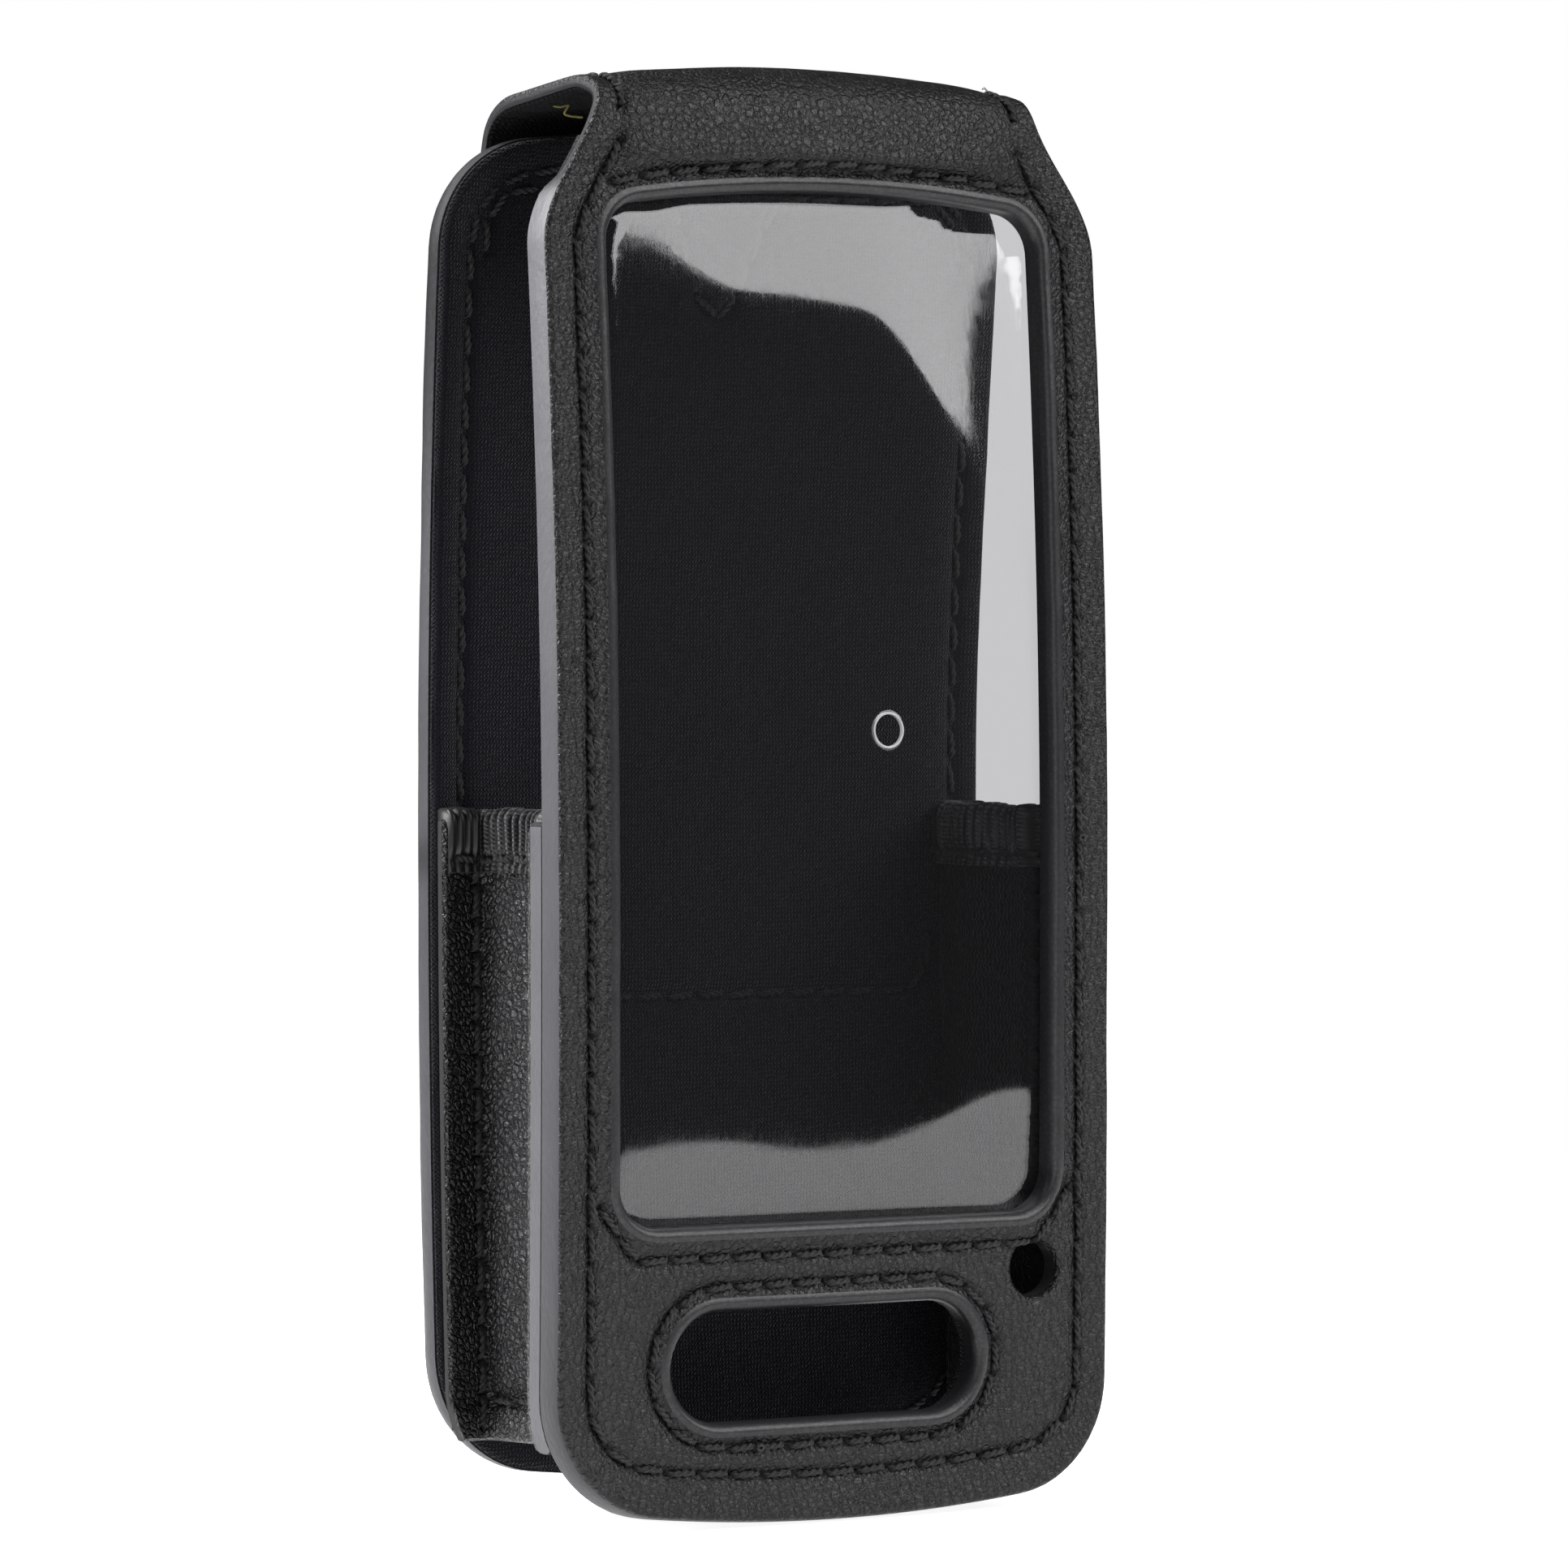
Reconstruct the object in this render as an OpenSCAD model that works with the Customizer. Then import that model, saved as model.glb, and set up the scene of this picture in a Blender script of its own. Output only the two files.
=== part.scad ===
// Soft leather carry case for a slim handheld radio or phone.
// X runs across the case, +Y towards its back, +Z up. The origin is the centre of the case's foot.

/* [Case] */
// Width of the front and back panels
case_w = 65; // [60:1:72]
// Height of the front panel up to the flap's fold
fold_z = 138; // [136:0.5:142]
// Clear depth between the front and back linings
pocket_d = 18.7; // [16:0.1:22]
// Radius of the panels' bottom corners
foot_r = 12; // [9:0.5:14]
// Radius of the slight curve along the panels' ends
end_curve_r = 200; // [150:10:400]

/* [Layers] */
// Thickness of the outer leather
leather_t = 1.2; // [1:0.1:1.4]
// Thickness of the front panel's stiffener
front_board_t = 1.2; // [1:0.1:1.5]
// Thickness of the front panel's lining
front_lining_t = 1.3; // [1:0.1:1.6]
// Thickness of the back panel's stiffener
back_board_t = 0.7; // [0.5:0.1:1]
// Thickness of the knit lining
knit_t = 1.1; // [0.8:0.1:1.2]
// Thickness of each half of the hook and loop tape
tape_t = 0.6; // [0.5:0.1:0.8]

/* [Front openings] */
// Width of the display window
window_w = 51; // [46:0.5:52]
// Height of the window's lower edge
window_z0 = 29.6; // [29:0.2:34]
// Height of the window's upper corners
window_z1 = 130.4; // [124:0.2:131]
// Rise of the window's upper edge at its middle
window_rise = 1.4; // [0.8:0.1:2]
// Radius of the window's corners
window_r = 4; // [3:0.5:6]
// Length of the speaker slot
slot_w = 37; // [30:0.5:38]
// Height of the speaker slot
slot_h = 12; // [9:0.5:13]
// Sideways place of the speaker slot
slot_x = -0.8; // [-2:0.1:1]
// Height of the speaker slot's centre
slot_z = 15.7; // [15:0.1:17]
// Diameter of the microphone hole
mic_d = 5.6; // [4:0.1:6]
// Sideways place of the microphone hole
mic_x = 23.5; // [22.5:0.1:24]
// Height of the microphone hole's centre
mic_z = 23.8; // [23:0.1:25]
// Diameter of the hole punched in the window film
film_hole_d = 3.8; // [3:0.1:5]
// Sideways place of the film's hole
film_hole_x = 8; // [-15:0.5:15]
// Height of the film's hole
film_hole_z = 78; // [50:0.5:110]

/* [Flap] */
// Width of the flap and its tail
flap_w = 48; // [44:1:50]
// Height where the front panel starts to narrow towards the flap
shoulder_z = 126; // [124:0.5:128]
// Outer radius of the flap's front bend
front_bend_r = 6; // [5:0.5:6.5]
// Outer radius of the flap's rear bend
rear_bend_r = 7; // [6.5:0.1:7.2]
// Length of the tail below the rear bend
tail_l = 24.5; // [22:0.5:25]

/* [Back] */
// Height of the back panel's lowest point
back_z0 = 2.7; // [2:0.1:4]
// Height of the back panel's highest point
back_z1 = 138.4; // [136:0.1:138.6]
// Radius of the back panel's top corners
head_r = 11; // [9:0.5:13]
// Width of the belt loop
loop_w = 54; // [44:1:55]
// Thickness of the belt loop leather
loop_t = 1.4; // [1.2:0.1:1.6]
// Clear depth of the belt loop's tunnel
tunnel_d = 5.2; // [4:0.1:7]

/* [Gussets] */
// Distance from the case's middle to the gussets' inner faces
gusset_x = 26.4; // [26:0.1:27]
// Height of the gussets' lower ends
gusset_z0 = 8.5; // [7:0.5:10]
// Height of the gussets' bound upper edges
gusset_z1 = 70.3; // [60:0.1:75]
// Thickness of the gussets' knit lining
gusset_knit_t = 0.7; // [0.5:0.1:0.8]
// Height of the ribbon that binds the upper edges
ribbon_h = 6.2; // [5:0.1:7]
// Thickness of the ribbon
ribbon_t = 0.45; // [0.3:0.05:0.5]
// Width of the strap under the device
strap_w = 30; // [24:1:34]

/* [Stitching] */
// Distance from one stitch to the next
stitch_pitch = 4; // [3.5:0.1:5]
// Distance from the front panel's edge to its stitching
front_inset = 3.6; // [3.4:0.1:3.8]
// Distance from the back panel's edge to its stitching
back_inset = 3.4; // [3:0.1:3.8]

/* [Hidden] */

$fn = 48;
arc_steps = 8;
stitch_l = 2.9;
stitch_w = 0.6;
stitch_h = 0.4;
stitch_gap = 0.02;
film_t = 0.35;
film_overlap = 3;
board_inset = 2;
lining_inset = 1.2;
fold_gap = 0.5;
board_fold_gap = 3;
board_hole_gap = 0.4;
lining_hole_gap = 0.6;
back_lining_inset = 0.6;
gusset_foot_drop = 1.4;
gusset_foot_slope = 8;
strap_web_z = 7.5;
strap_flange_z = 3.4;
thread_proud = stitch_h + stitch_gap;
slot_seam_gap = 2.3;

// Layers from the front face to the belt loop's rearmost face, along Y.
front_t = leather_t + front_board_t + front_lining_t;
back_t = knit_t + back_board_t + leather_t;
case_d = thread_proud + front_t + pocket_d + back_t + tunnel_d + loop_t;
front_y = thread_proud - case_d / 2;
board_y = front_y + leather_t;
lining_y = board_y + front_board_t;
pocket_y0 = front_y + front_t;
pocket_y1 = pocket_y0 + pocket_d;
back_board_y = pocket_y1 + knit_t;
back_leather_y = back_board_y + back_board_t;
back_y = back_leather_y + leather_t;
loop_tape_y = back_y + loop_t;
hook_tape_y = loop_tape_y + tape_t;
tail_y = hook_tape_y + tape_t;
tail_back_y = tail_y + leather_t;

// The flap's profile: two bends joined by a sloping top that is tangent to both.
front_bend = [front_y + front_bend_r, fold_z];
rear_bend = [tail_back_y - rear_bend_r, fold_z - 3];
bend_gap = norm(rear_bend - front_bend);
bend_slope = atan2(rear_bend[1] - front_bend[1], rear_bend[0] - front_bend[0]);
top_normal = bend_slope + acos((front_bend_r - rear_bend_r) / bend_gap);
tail_z1 = rear_bend[1];
tail_z0 = tail_z1 - tail_l;
flap_lining_t = 0.8;

// The belt loop's profile, from its sewn head down to its sewn foot.
loop_head_z = 133;
loop_head_open_z = 109;
loop_back_z1 = 102.5;
loop_back_z0 = 61;
loop_foot_open_z = 54;
loop_foot_z = 47.5;
loop_r = 5;
tape_z0 = 113;
tape_z1 = 128;
tape_w = 40;
tape_border = 2.6;
seam_inset = 2;
seam_turn = 4;
dip = 11.5;
dip_x = 5;
dip_run = 4;

black_leather = "#26262a";
black_knit = "#15161c";
black_thread = "#0c0c0e";

function arc(centre, r, from, to, steps = arc_steps) = [
    for (i = [0:steps])
        let (a = from + (to - from) * i / steps) centre + r * [cos(a), sin(a)]
];

function mirrored(right) = [for (i = [len(right) - 1:-1:0]) [-right[i][0], right[i][1]]];

function flipped(path, z) = [for (i = [len(path) - 1:-1:0]) [path[i][0], z - path[i][1]]];

function reversed(path) = [for (i = [len(path) - 1:-1:0]) path[i]];

// Right half of a panel's lower end, from its lowest point out to the top of its corner.
function panel_end(corner_r, inset) =
    let (
        centre_x = case_w / 2 - corner_r,
        meet = asin(centre_x / (end_curve_r - corner_r)),
        centre_z = end_curve_r - (end_curve_r - corner_r) * cos(meet)
    )
    concat(
        arc([0, end_curve_r], end_curve_r - inset, 270, 270 + meet),
        arc([centre_x, centre_z], corner_r - inset, 270 + meet, 360)
    );

function shoulder_half(z) =
    let (run = fold_z + 4 - shoulder_z, turn = 180 * (z - shoulder_z) / run)
    flap_w / 2 + (case_w - flap_w) / 2 * (1 + cos(turn)) / 2;

// Right half of the front panel, from its lowest point up to the given height on its shoulder.
function front_half(inset, top) = concat(
    panel_end(foot_r, inset),
    [
        for (i = [0:arc_steps])
            let (z = shoulder_z + (top - shoulder_z) * i / arc_steps)
            [shoulder_half(z) - inset, z]
    ]
);

function back_half(inset) = concat(
    [for (p = panel_end(foot_r, inset)) p + [0, back_z0]],
    flipped(panel_end(head_r, inset), back_z1)
);

function flap_curve(depth) = concat(
    arc(front_bend, front_bend_r - depth, 180, top_normal),
    arc(rear_bend, rear_bend_r - depth, top_normal, 0)
);

function lengths(path) = [for (i = [1:len(path) - 1]) norm(path[i] - path[i - 1])];

function running(steps, i = 0, sum = 0) =
    i == len(steps) ? [sum] : concat([sum], running(steps, i + 1, sum + steps[i]));

// Draws an XZ outline as a sheet between two places along Y.
module sheet(from_y, to_y) {
    translate([0, to_y, 0]) rotate([90, 0, 0]) linear_extrude(to_y - from_y) children();
}

// Draws a YZ profile as a strip centred on X.
module strip(width) {
    rotate([90, 0, 90]) linear_extrude(width, center = true) children();
}

// A row of stitches along an XZ path, lying between two places along Y.
module seam(path, from_y) {
    run = running(lengths(path));
    total = run[len(run) - 1];
    count = floor(total / stitch_pitch);
    for (k = [0:count - 1]) {
        s = (k + 0.5) * total / count;
        i = max([for (j = [0:len(path) - 2]) if (run[j] <= s) j]);
        along = path[i + 1] - path[i];
        place = path[i] + along * (s - run[i]) / (run[i + 1] - run[i]);
        translate([place[0], from_y + stitch_h / 2, place[1]])
            rotate([0, -atan2(along[1], along[0]), 0])
            cube([stitch_l, stitch_h, stitch_w], center = true);
    }
}

module front_seam(path) {
    color(black_thread) seam(path, front_y - thread_proud);
}

module rear_seam(path, face_y) {
    color(black_thread) seam(path, face_y + stitch_gap);
}

// A rectangle on the XZ plane, centred on X, with all four corners round.
module round_panel(width, z0, z1, r) {
    translate([-width / 2, z0 + r]) square([width, z1 - z0 - 2 * r]);
    translate([r - width / 2, z0]) square([width - 2 * r, z1 - z0]);
    for (x = [-1, 1], z = [z0 + r, z1 - r]) translate([x * (width / 2 - r), z]) circle(r);
}

module front_outline(inset, top) {
    right = front_half(inset, top);
    polygon(concat(right, mirrored(right)));
}

module back_outline(inset) {
    right = back_half(inset);
    polygon(concat(right, mirrored(right)));
}

// The window: round corners, straight sill and a slightly arched head.
module window_outline(grow) {
    half = window_w / 2 + grow;
    span = half - window_r;
    top_r = (span * span + window_rise * window_rise) / (2 * window_rise);
    head_z = window_z1 + window_rise + grow;
    round_panel(2 * half, window_z0 - grow, window_z1 + grow, window_r);
    intersection() {
        translate([0, head_z - top_r]) circle(top_r, $fn = 96);
        translate([-span, window_z1 - 2 * window_r]) square([2 * span, 3 * window_r]);
    }
}

module slot_outline(grow) {
    r = slot_h / 2 + grow;
    span = (slot_w - slot_h) / 2;
    translate([slot_x - span, slot_z - r]) square([2 * span, 2 * r]);
    for (side = [-1, 1]) translate([slot_x + side * span, slot_z]) circle(r);
}

module mic_outline(grow) {
    translate([mic_x, mic_z]) circle(mic_d / 2 + grow);
}

// ---- Front panel ----

module front_leather() {
    color(black_leather)
    sheet(front_y, board_y) difference() {
        front_outline(0, fold_z);
        window_outline(0);
        slot_outline(0);
        mic_outline(0);
    }
}

module front_stiffener() {
    color("#3b3b40")
    sheet(board_y, lining_y) difference() {
        front_outline(board_inset, fold_z - board_fold_gap);
        window_outline(board_hole_gap);
        slot_outline(board_hole_gap);
        mic_outline(board_hole_gap);
    }
}

module window_film() {
    color("#cfd6da", 0.35)
    sheet(lining_y, lining_y + film_t) difference() {
        window_outline(film_overlap);
        translate([film_hole_x, film_hole_z]) circle(film_hole_d / 2);
    }
}

module front_lining() {
    color(black_knit) difference() {
        sheet(lining_y, pocket_y0) difference() {
            front_outline(lining_inset, fold_z - fold_gap);
            window_outline(lining_hole_gap);
            slot_outline(lining_hole_gap);
            mic_outline(lining_hole_gap);
        }
        sheet(lining_y - 1, lining_y + film_t + 0.05) window_outline(film_overlap + 0.2);
    }
}

module front_edge_thread() {
    right = front_half(front_inset, fold_z - 1.5);
    front_seam(concat(mirrored(right), right));
}

// The stitch row over the window bows up slightly, and ends clear of the edge stitching.
module window_head_thread() {
    half = flap_w / 2 - 0.6;
    rise = 2;
    top_z = window_z1 + 4;
    bow_r = (half * half + rise * rise) / (2 * rise);
    sweep = asin(half / bow_r);
    front_seam(arc([0, top_z - bow_r], bow_r, 90 + sweep, 90 - sweep));
}

module window_sill_thread() {
    half = case_w / 2 - front_inset - 1;
    low_z = window_z0 - 2.6;
    corner = 4;
    front_seam([
        [-half, low_z + corner], [-half + corner, low_z], [half - corner, low_z], [half, low_z + corner]
    ]);
}

module slot_thread() {
    r = slot_h / 2 + slot_seam_gap;
    span = (slot_w - slot_h) / 2;
    left = arc([slot_x - span, slot_z], r, 90, 270);
    right = arc([slot_x + span, slot_z], r, 270, 450);
    front_seam(concat(left, right, [left[0]]));
}

// ---- Side gussets and bottom strap ----

// Plan of one channel-shaped layer: a web along Y with both flanges turned outwards.
module channel_plan(inner_x, outer_x, y0, y1, t) {
    difference() {
        translate([inner_x, y0]) square([outer_x - inner_x, y1 - y0]);
        translate([inner_x + t, y0 + t]) square([outer_x, y1 - y0 - 2 * t]);
    }
}

// Trims a gusset to the panels' round corners, and cuts its foot to slope down towards the front.
module gusset_trim() {
    middle_y = pocket_y0 + pocket_d / 2;
    difference() {
        intersection() {
            children();
            union() {
                sheet(pocket_y0 - 1, middle_y) front_outline(0, fold_z);
                sheet(middle_y, pocket_y1 + 1) back_outline(0);
            }
        }
        translate([gusset_x - 5, pocket_y0, gusset_z0 - gusset_foot_drop])
            rotate([gusset_foot_slope, 0, 0])
            translate([0, -10, -20]) cube([20, pocket_d + 20, 20]);
    }
}

module on_side(side) {
    if (side < 0) mirror([1, 0, 0]) children();
    else children();
}

module gusset_layer(side, depth, t) {
    on_side(side) gusset_trim()
        translate([0, 0, gusset_z0 - 6]) linear_extrude(gusset_z1 - ribbon_t - gusset_z0 + 6)
        channel_plan(gusset_x + depth, case_w / 2, pocket_y0 + depth, pocket_y1 - depth, t);
}

module gusset_leather(side) {
    color(black_leather) gusset_layer(side, gusset_knit_t, leather_t);
}

module gusset_lining(side) {
    color(black_knit) gusset_layer(side, 0, gusset_knit_t);
}

// The ribbon folds over the gusset's upper edge and shows on both faces of its web.
module gusset_binding(side) {
    t = gusset_knit_t + leather_t;
    color("#1b1b1e") on_side(side) difference() {
        translate([0, 0, gusset_z1 - ribbon_h]) linear_extrude(ribbon_h)
            translate([gusset_x - ribbon_t, pocket_y0 + t])
            square([t + 2 * ribbon_t, pocket_d - 2 * t]);
        translate([gusset_x, pocket_y0, gusset_z1 - ribbon_h - 1])
            cube([t, pocket_d, ribbon_h + 1 - ribbon_t]);
    }
}

// Rows of stitches across the gusset's outer face: one in the ribbon and one in the foot hem.
module gusset_thread(side) {
    face_x = gusset_x + gusset_knit_t + leather_t + stitch_gap;
    t = gusset_knit_t + leather_t;
    count = 3;
    rows = [[gusset_z1 - ribbon_h + 1.4, ribbon_t], [gusset_z0 + 5.5, 0]];
    color(black_thread) on_side(side)
        for (row = rows, k = [0:count - 1]) {
            y = pocket_y0 + t + (pocket_d - 2 * t) * (k + 0.5) / count;
            translate([face_x + row[1], y - stitch_l / 2, row[0]])
                cube([stitch_h, stitch_l, stitch_w]);
        }
}

module left_gusset_leather() gusset_leather(-1);
module left_gusset_lining() gusset_lining(-1);
module left_gusset_binding() gusset_binding(-1);
module left_gusset_thread() gusset_thread(-1);
module right_gusset_leather() gusset_leather(1);
module right_gusset_lining() gusset_lining(1);
module right_gusset_binding() gusset_binding(1);
module right_gusset_thread() gusset_thread(1);

// A channel with its flanges turned down, sewn inside the foot of both panels.
module bottom_strap() {
    height = strap_web_z - strap_flange_z;
    color(black_leather)
    strip(strap_w) difference() {
        translate([pocket_y0, strap_flange_z]) square([pocket_d, height]);
        translate([pocket_y0 + leather_t, strap_flange_z - 1])
            square([pocket_d - 2 * leather_t, height + 1 - leather_t]);
    }
}

// ---- Back panel ----

module back_leather() {
    color(black_leather) sheet(back_leather_y, back_y) back_outline(0);
}

module back_stiffener() {
    color("#3b3b40") sheet(back_board_y, back_leather_y) back_outline(board_inset);
}

module back_lining() {
    color(black_knit) sheet(pocket_y1, back_board_y) back_outline(back_lining_inset);
}

module back_edge_thread() {
    right = back_half(back_inset);
    rear_seam(concat(mirrored(right), right), back_y);
}

// A wide leather strap, flat where it is sewn and standing off the panel between its seams.
module belt_loop() {
    inner = [
        [back_y, loop_foot_z], [back_y, loop_foot_open_z], [back_y + tunnel_d, loop_back_z0],
        [back_y + tunnel_d, loop_back_z1], [back_y, loop_head_open_z], [back_y, loop_head_z]
    ];
    outer = [for (p = inner) p + [loop_t, 0]];
    color(black_leather) intersection() {
        strip(loop_w) polygon(concat(inner, reversed(outer)));
        sheet(back_y - 1, back_y + 20) round_panel(loop_w, loop_foot_z, loop_head_z, loop_r);
    }
}

// Right half of the belt loop's head seam, which dips in the middle of the panel.
function head_seam_half() =
    let (half = loop_w / 2 - seam_inset, high_z = loop_head_z - seam_inset, corner_r = 4)
    concat(
        [
            for (i = [0:arc_steps])
                [
                    dip_x + dip_run * i / arc_steps,
                    high_z - dip * (1 + cos(180 * i / arc_steps)) / 2
                ]
        ],
        arc([half - corner_r, high_z - corner_r], corner_r, 90, 0, 4)
    );

// It shows whole on the lining, and on the belt loop at the sides of the tape.
module belt_loop_head_thread() {
    right = head_seam_half();
    beside_tape = [for (p = right) if (p[0] > tape_w / 2 + 1) p];
    lining_side = concat(mirrored(right), right);
    color(black_thread) seam(lining_side, pocket_y1 - thread_proud);
    rear_seam(beside_tape, back_y + loop_t);
    rear_seam(mirrored(beside_tape), back_y + loop_t);
}

// The foot seam turns up at both ends.
module belt_loop_foot_thread() {
    half = loop_w / 2 - seam_inset;
    low_z = loop_foot_z + seam_inset;
    path = [
        [-half, low_z + seam_turn], [-half, low_z], [half, low_z], [half, low_z + seam_turn]
    ];
    rear_seam(path, back_y + loop_t);
    color(black_thread) seam(path, pocket_y1 - thread_proud);
}

// ---- Flap, tail and hook and loop closure ----

module flap_leather() {
    color(black_leather) intersection() {
        strip(case_w) polygon(concat(flap_curve(0), reversed(flap_curve(leather_t))));
        union() {
            sheet(front_y - 1, front_bend[0]) front_outline(0, fold_z + 4);
            translate([-flap_w / 2, front_y - 1, fold_z - 10]) cube([flap_w, case_d + 2, 20]);
        }
    }
}

module flap_lining() {
    outer_r = front_bend_r - leather_t;
    inner_r = outer_r - flap_lining_t;
    end_r = rear_bend_r - leather_t;
    normal = [cos(top_normal), sin(top_normal)];
    color(black_knit) strip(flap_w - 2) polygon(concat(
        arc(front_bend, outer_r, 180, top_normal),
        [rear_bend + end_r * normal, rear_bend + (end_r - flap_lining_t) * normal],
        arc(front_bend, inner_r, top_normal, 180)
    ));
}

// A row of stitches along each side edge of the flap's sloping top.
module flap_thread() {
    normal = [cos(top_normal), sin(top_normal)];
    from = front_bend + (front_bend_r + stitch_gap + stitch_h / 2) * normal;
    to = rear_bend + (rear_bend_r + stitch_gap + stitch_h / 2) * normal;
    count = floor(norm(to - from) / stitch_pitch);
    color(black_thread)
        for (side = [-1, 1], k = [0:count - 1]) {
            place = from + (to - from) * (k + 0.5) / count;
            translate([side * (flap_w / 2 - seam_inset), place[0], place[1]])
                rotate([top_normal - 90, 0, 0])
                cube([stitch_w, stitch_l, stitch_h], center = true);
        }
}

// The tail hangs from the rear bend, with its free corners round.
module tail_leather() {
    color(black_leather) sheet(tail_y, tail_back_y) intersection() {
        round_panel(flap_w, tail_z0, tail_z1 + 10, 6);
        translate([-flap_w / 2, tail_z0]) square([flap_w, tail_l]);
    }
}

module tail_thread() {
    half = flap_w / 2 - seam_inset;
    low_z = tail_z0 + seam_inset;
    r = 4;
    right = concat(arc([half - r, low_z + r], r, 270, 360, 4), [[half, tail_z1 - 1]]);
    rear_seam(concat(mirrored(right), right), tail_back_y);
}

module loop_tape() {
    color("#101014") sheet(loop_tape_y, hook_tape_y) round_panel(tape_w, tape_z0, tape_z1, 1.5);
}

// The hook half is smaller, so the loop half's border stitching stays clear of it.
module hook_tape() {
    color("#101014") sheet(hook_tape_y, tail_y)
        round_panel(tape_w - 2 * tape_border, tape_z0 + tape_border, tape_z1 - tape_border, 1);
}

module loop_tape_thread() {
    half = tape_w / 2 - tape_border / 2;
    z0 = tape_z0 + tape_border / 2;
    z1 = tape_z1 - tape_border / 2;
    rear_seam([[-half, z0], [half, z0], [half, z1], [-half, z1], [-half, z0]], hook_tape_y);
}

front_leather();
front_stiffener();
front_lining();
window_film();
front_edge_thread();
window_head_thread();
window_sill_thread();
slot_thread();
left_gusset_leather();
left_gusset_lining();
left_gusset_binding();
left_gusset_thread();
right_gusset_leather();
right_gusset_lining();
right_gusset_binding();
right_gusset_thread();
bottom_strap();
back_leather();
back_stiffener();
back_lining();
back_edge_thread();
belt_loop();
belt_loop_head_thread();
belt_loop_foot_thread();
loop_tape();
loop_tape_thread();
flap_leather();
flap_lining();
flap_thread();
tail_leather();
hook_tape();
tail_thread();
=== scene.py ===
"""Looks of the soft leather carry case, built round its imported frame.

Lengths are millimetres until a mesh is made. A leather or cloth part is drawn as a flat pattern: points p
and a depth n under its outer face. The wrap functions take both to their place in the frame.
"""

import math

import bmesh
import bpy
import numpy as np
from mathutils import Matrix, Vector, geometry, noise


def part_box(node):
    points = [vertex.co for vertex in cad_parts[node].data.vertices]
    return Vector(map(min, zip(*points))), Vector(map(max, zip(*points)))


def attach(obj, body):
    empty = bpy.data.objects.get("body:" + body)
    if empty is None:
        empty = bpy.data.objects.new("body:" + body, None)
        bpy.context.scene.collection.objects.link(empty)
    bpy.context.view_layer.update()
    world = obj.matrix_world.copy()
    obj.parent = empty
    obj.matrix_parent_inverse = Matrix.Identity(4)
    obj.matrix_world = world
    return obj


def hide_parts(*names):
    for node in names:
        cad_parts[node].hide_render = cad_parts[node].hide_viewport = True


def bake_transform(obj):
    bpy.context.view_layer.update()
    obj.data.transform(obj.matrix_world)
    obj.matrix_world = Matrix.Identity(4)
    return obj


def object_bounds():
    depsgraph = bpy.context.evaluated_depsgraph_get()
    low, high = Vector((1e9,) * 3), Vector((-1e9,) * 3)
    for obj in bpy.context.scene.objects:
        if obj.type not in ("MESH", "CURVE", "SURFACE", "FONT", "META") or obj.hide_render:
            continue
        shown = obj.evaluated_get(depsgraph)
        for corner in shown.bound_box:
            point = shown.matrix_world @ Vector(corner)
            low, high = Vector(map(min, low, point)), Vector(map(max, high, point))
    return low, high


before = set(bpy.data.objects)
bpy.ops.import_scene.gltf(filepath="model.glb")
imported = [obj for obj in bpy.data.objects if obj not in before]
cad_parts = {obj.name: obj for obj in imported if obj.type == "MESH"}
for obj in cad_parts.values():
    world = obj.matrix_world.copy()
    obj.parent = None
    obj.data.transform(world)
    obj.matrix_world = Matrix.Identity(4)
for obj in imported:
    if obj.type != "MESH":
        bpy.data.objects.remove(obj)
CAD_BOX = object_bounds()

MM = 0.001
RNG = np.random.default_rng(7)

# ---- places taken from the frame


def low(node):
    return np.array(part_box(node)[0]) / MM


def high(node):
    return np.array(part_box(node)[1]) / MM


HALF_W = high("front_leather")[0]
FRONT_Y = low("front_leather")[1]
FRONT_T = high("front_lining")[1] - FRONT_Y
LEATHER_T = high("front_leather")[1] - FRONT_Y
FILM_N = low("window_film")[1] - FRONT_Y
FILM_T = high("window_film")[1] - low("window_film")[1]
FOLD_Z = high("front_leather")[2]
FLAP_WIDER = 1.5
FLAP_HALF = high("tail_leather")[0] + FLAP_WIDER
BACK_Y = high("back_leather")[1]
BACK_T = BACK_Y - low("back_lining")[1]
BACK_Z0 = low("back_leather")[2]
BACK_Z1 = high("back_leather")[2]
LOOP_T = low("loop_tape")[1] - BACK_Y
TAPE_T = low("hook_tape")[1] - low("loop_tape")[1]
TAIL_Z0 = low("tail_leather")[2]
GUSSET_Z1 = high("left_gusset_binding")[2]
GUSSET_X = low("right_gusset_lining")[0]
SLOT_Z = (low("slot_thread")[2] + high("slot_thread")[2]) / 2
SLOT_LEFT = 0.8
SLOT_X = (low("slot_thread")[0] + high("slot_thread")[0]) / 2 - SLOT_LEFT

# ---- curves and outlines


def arc(cx, cy, r, a0, a1, steps=12):
    a = np.radians(np.linspace(a0, a1, steps + 1))
    return np.c_[cx + r * np.cos(a), cy + r * np.sin(a)]


def both_sides(right):
    """A closed counter-clockwise outline from its right half, given from the bottom up."""
    right = np.asarray(right, float)
    return np.vstack([right, right[::-1] * [-1, 1]])


def run_along(path, closed=False):
    pts = np.asarray(path, float)
    if closed:
        pts = np.vstack([pts, pts[:1]])
    seg = np.linalg.norm(np.diff(pts, axis=0), axis=1)
    pts = pts[np.r_[True, seg > 1e-9]]
    seg = np.linalg.norm(np.diff(pts, axis=0), axis=1)
    return pts, np.r_[0, np.cumsum(seg)]


def resample(path, step, closed=False):
    pts, run = run_along(path, closed)
    count = max(3, round(run[-1] / step))
    at = np.linspace(0, run[-1], count + 1)
    if closed:
        at = at[:-1]
    return np.c_[np.interp(at, run, pts[:, 0]), np.interp(at, run, pts[:, 1])]


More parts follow.
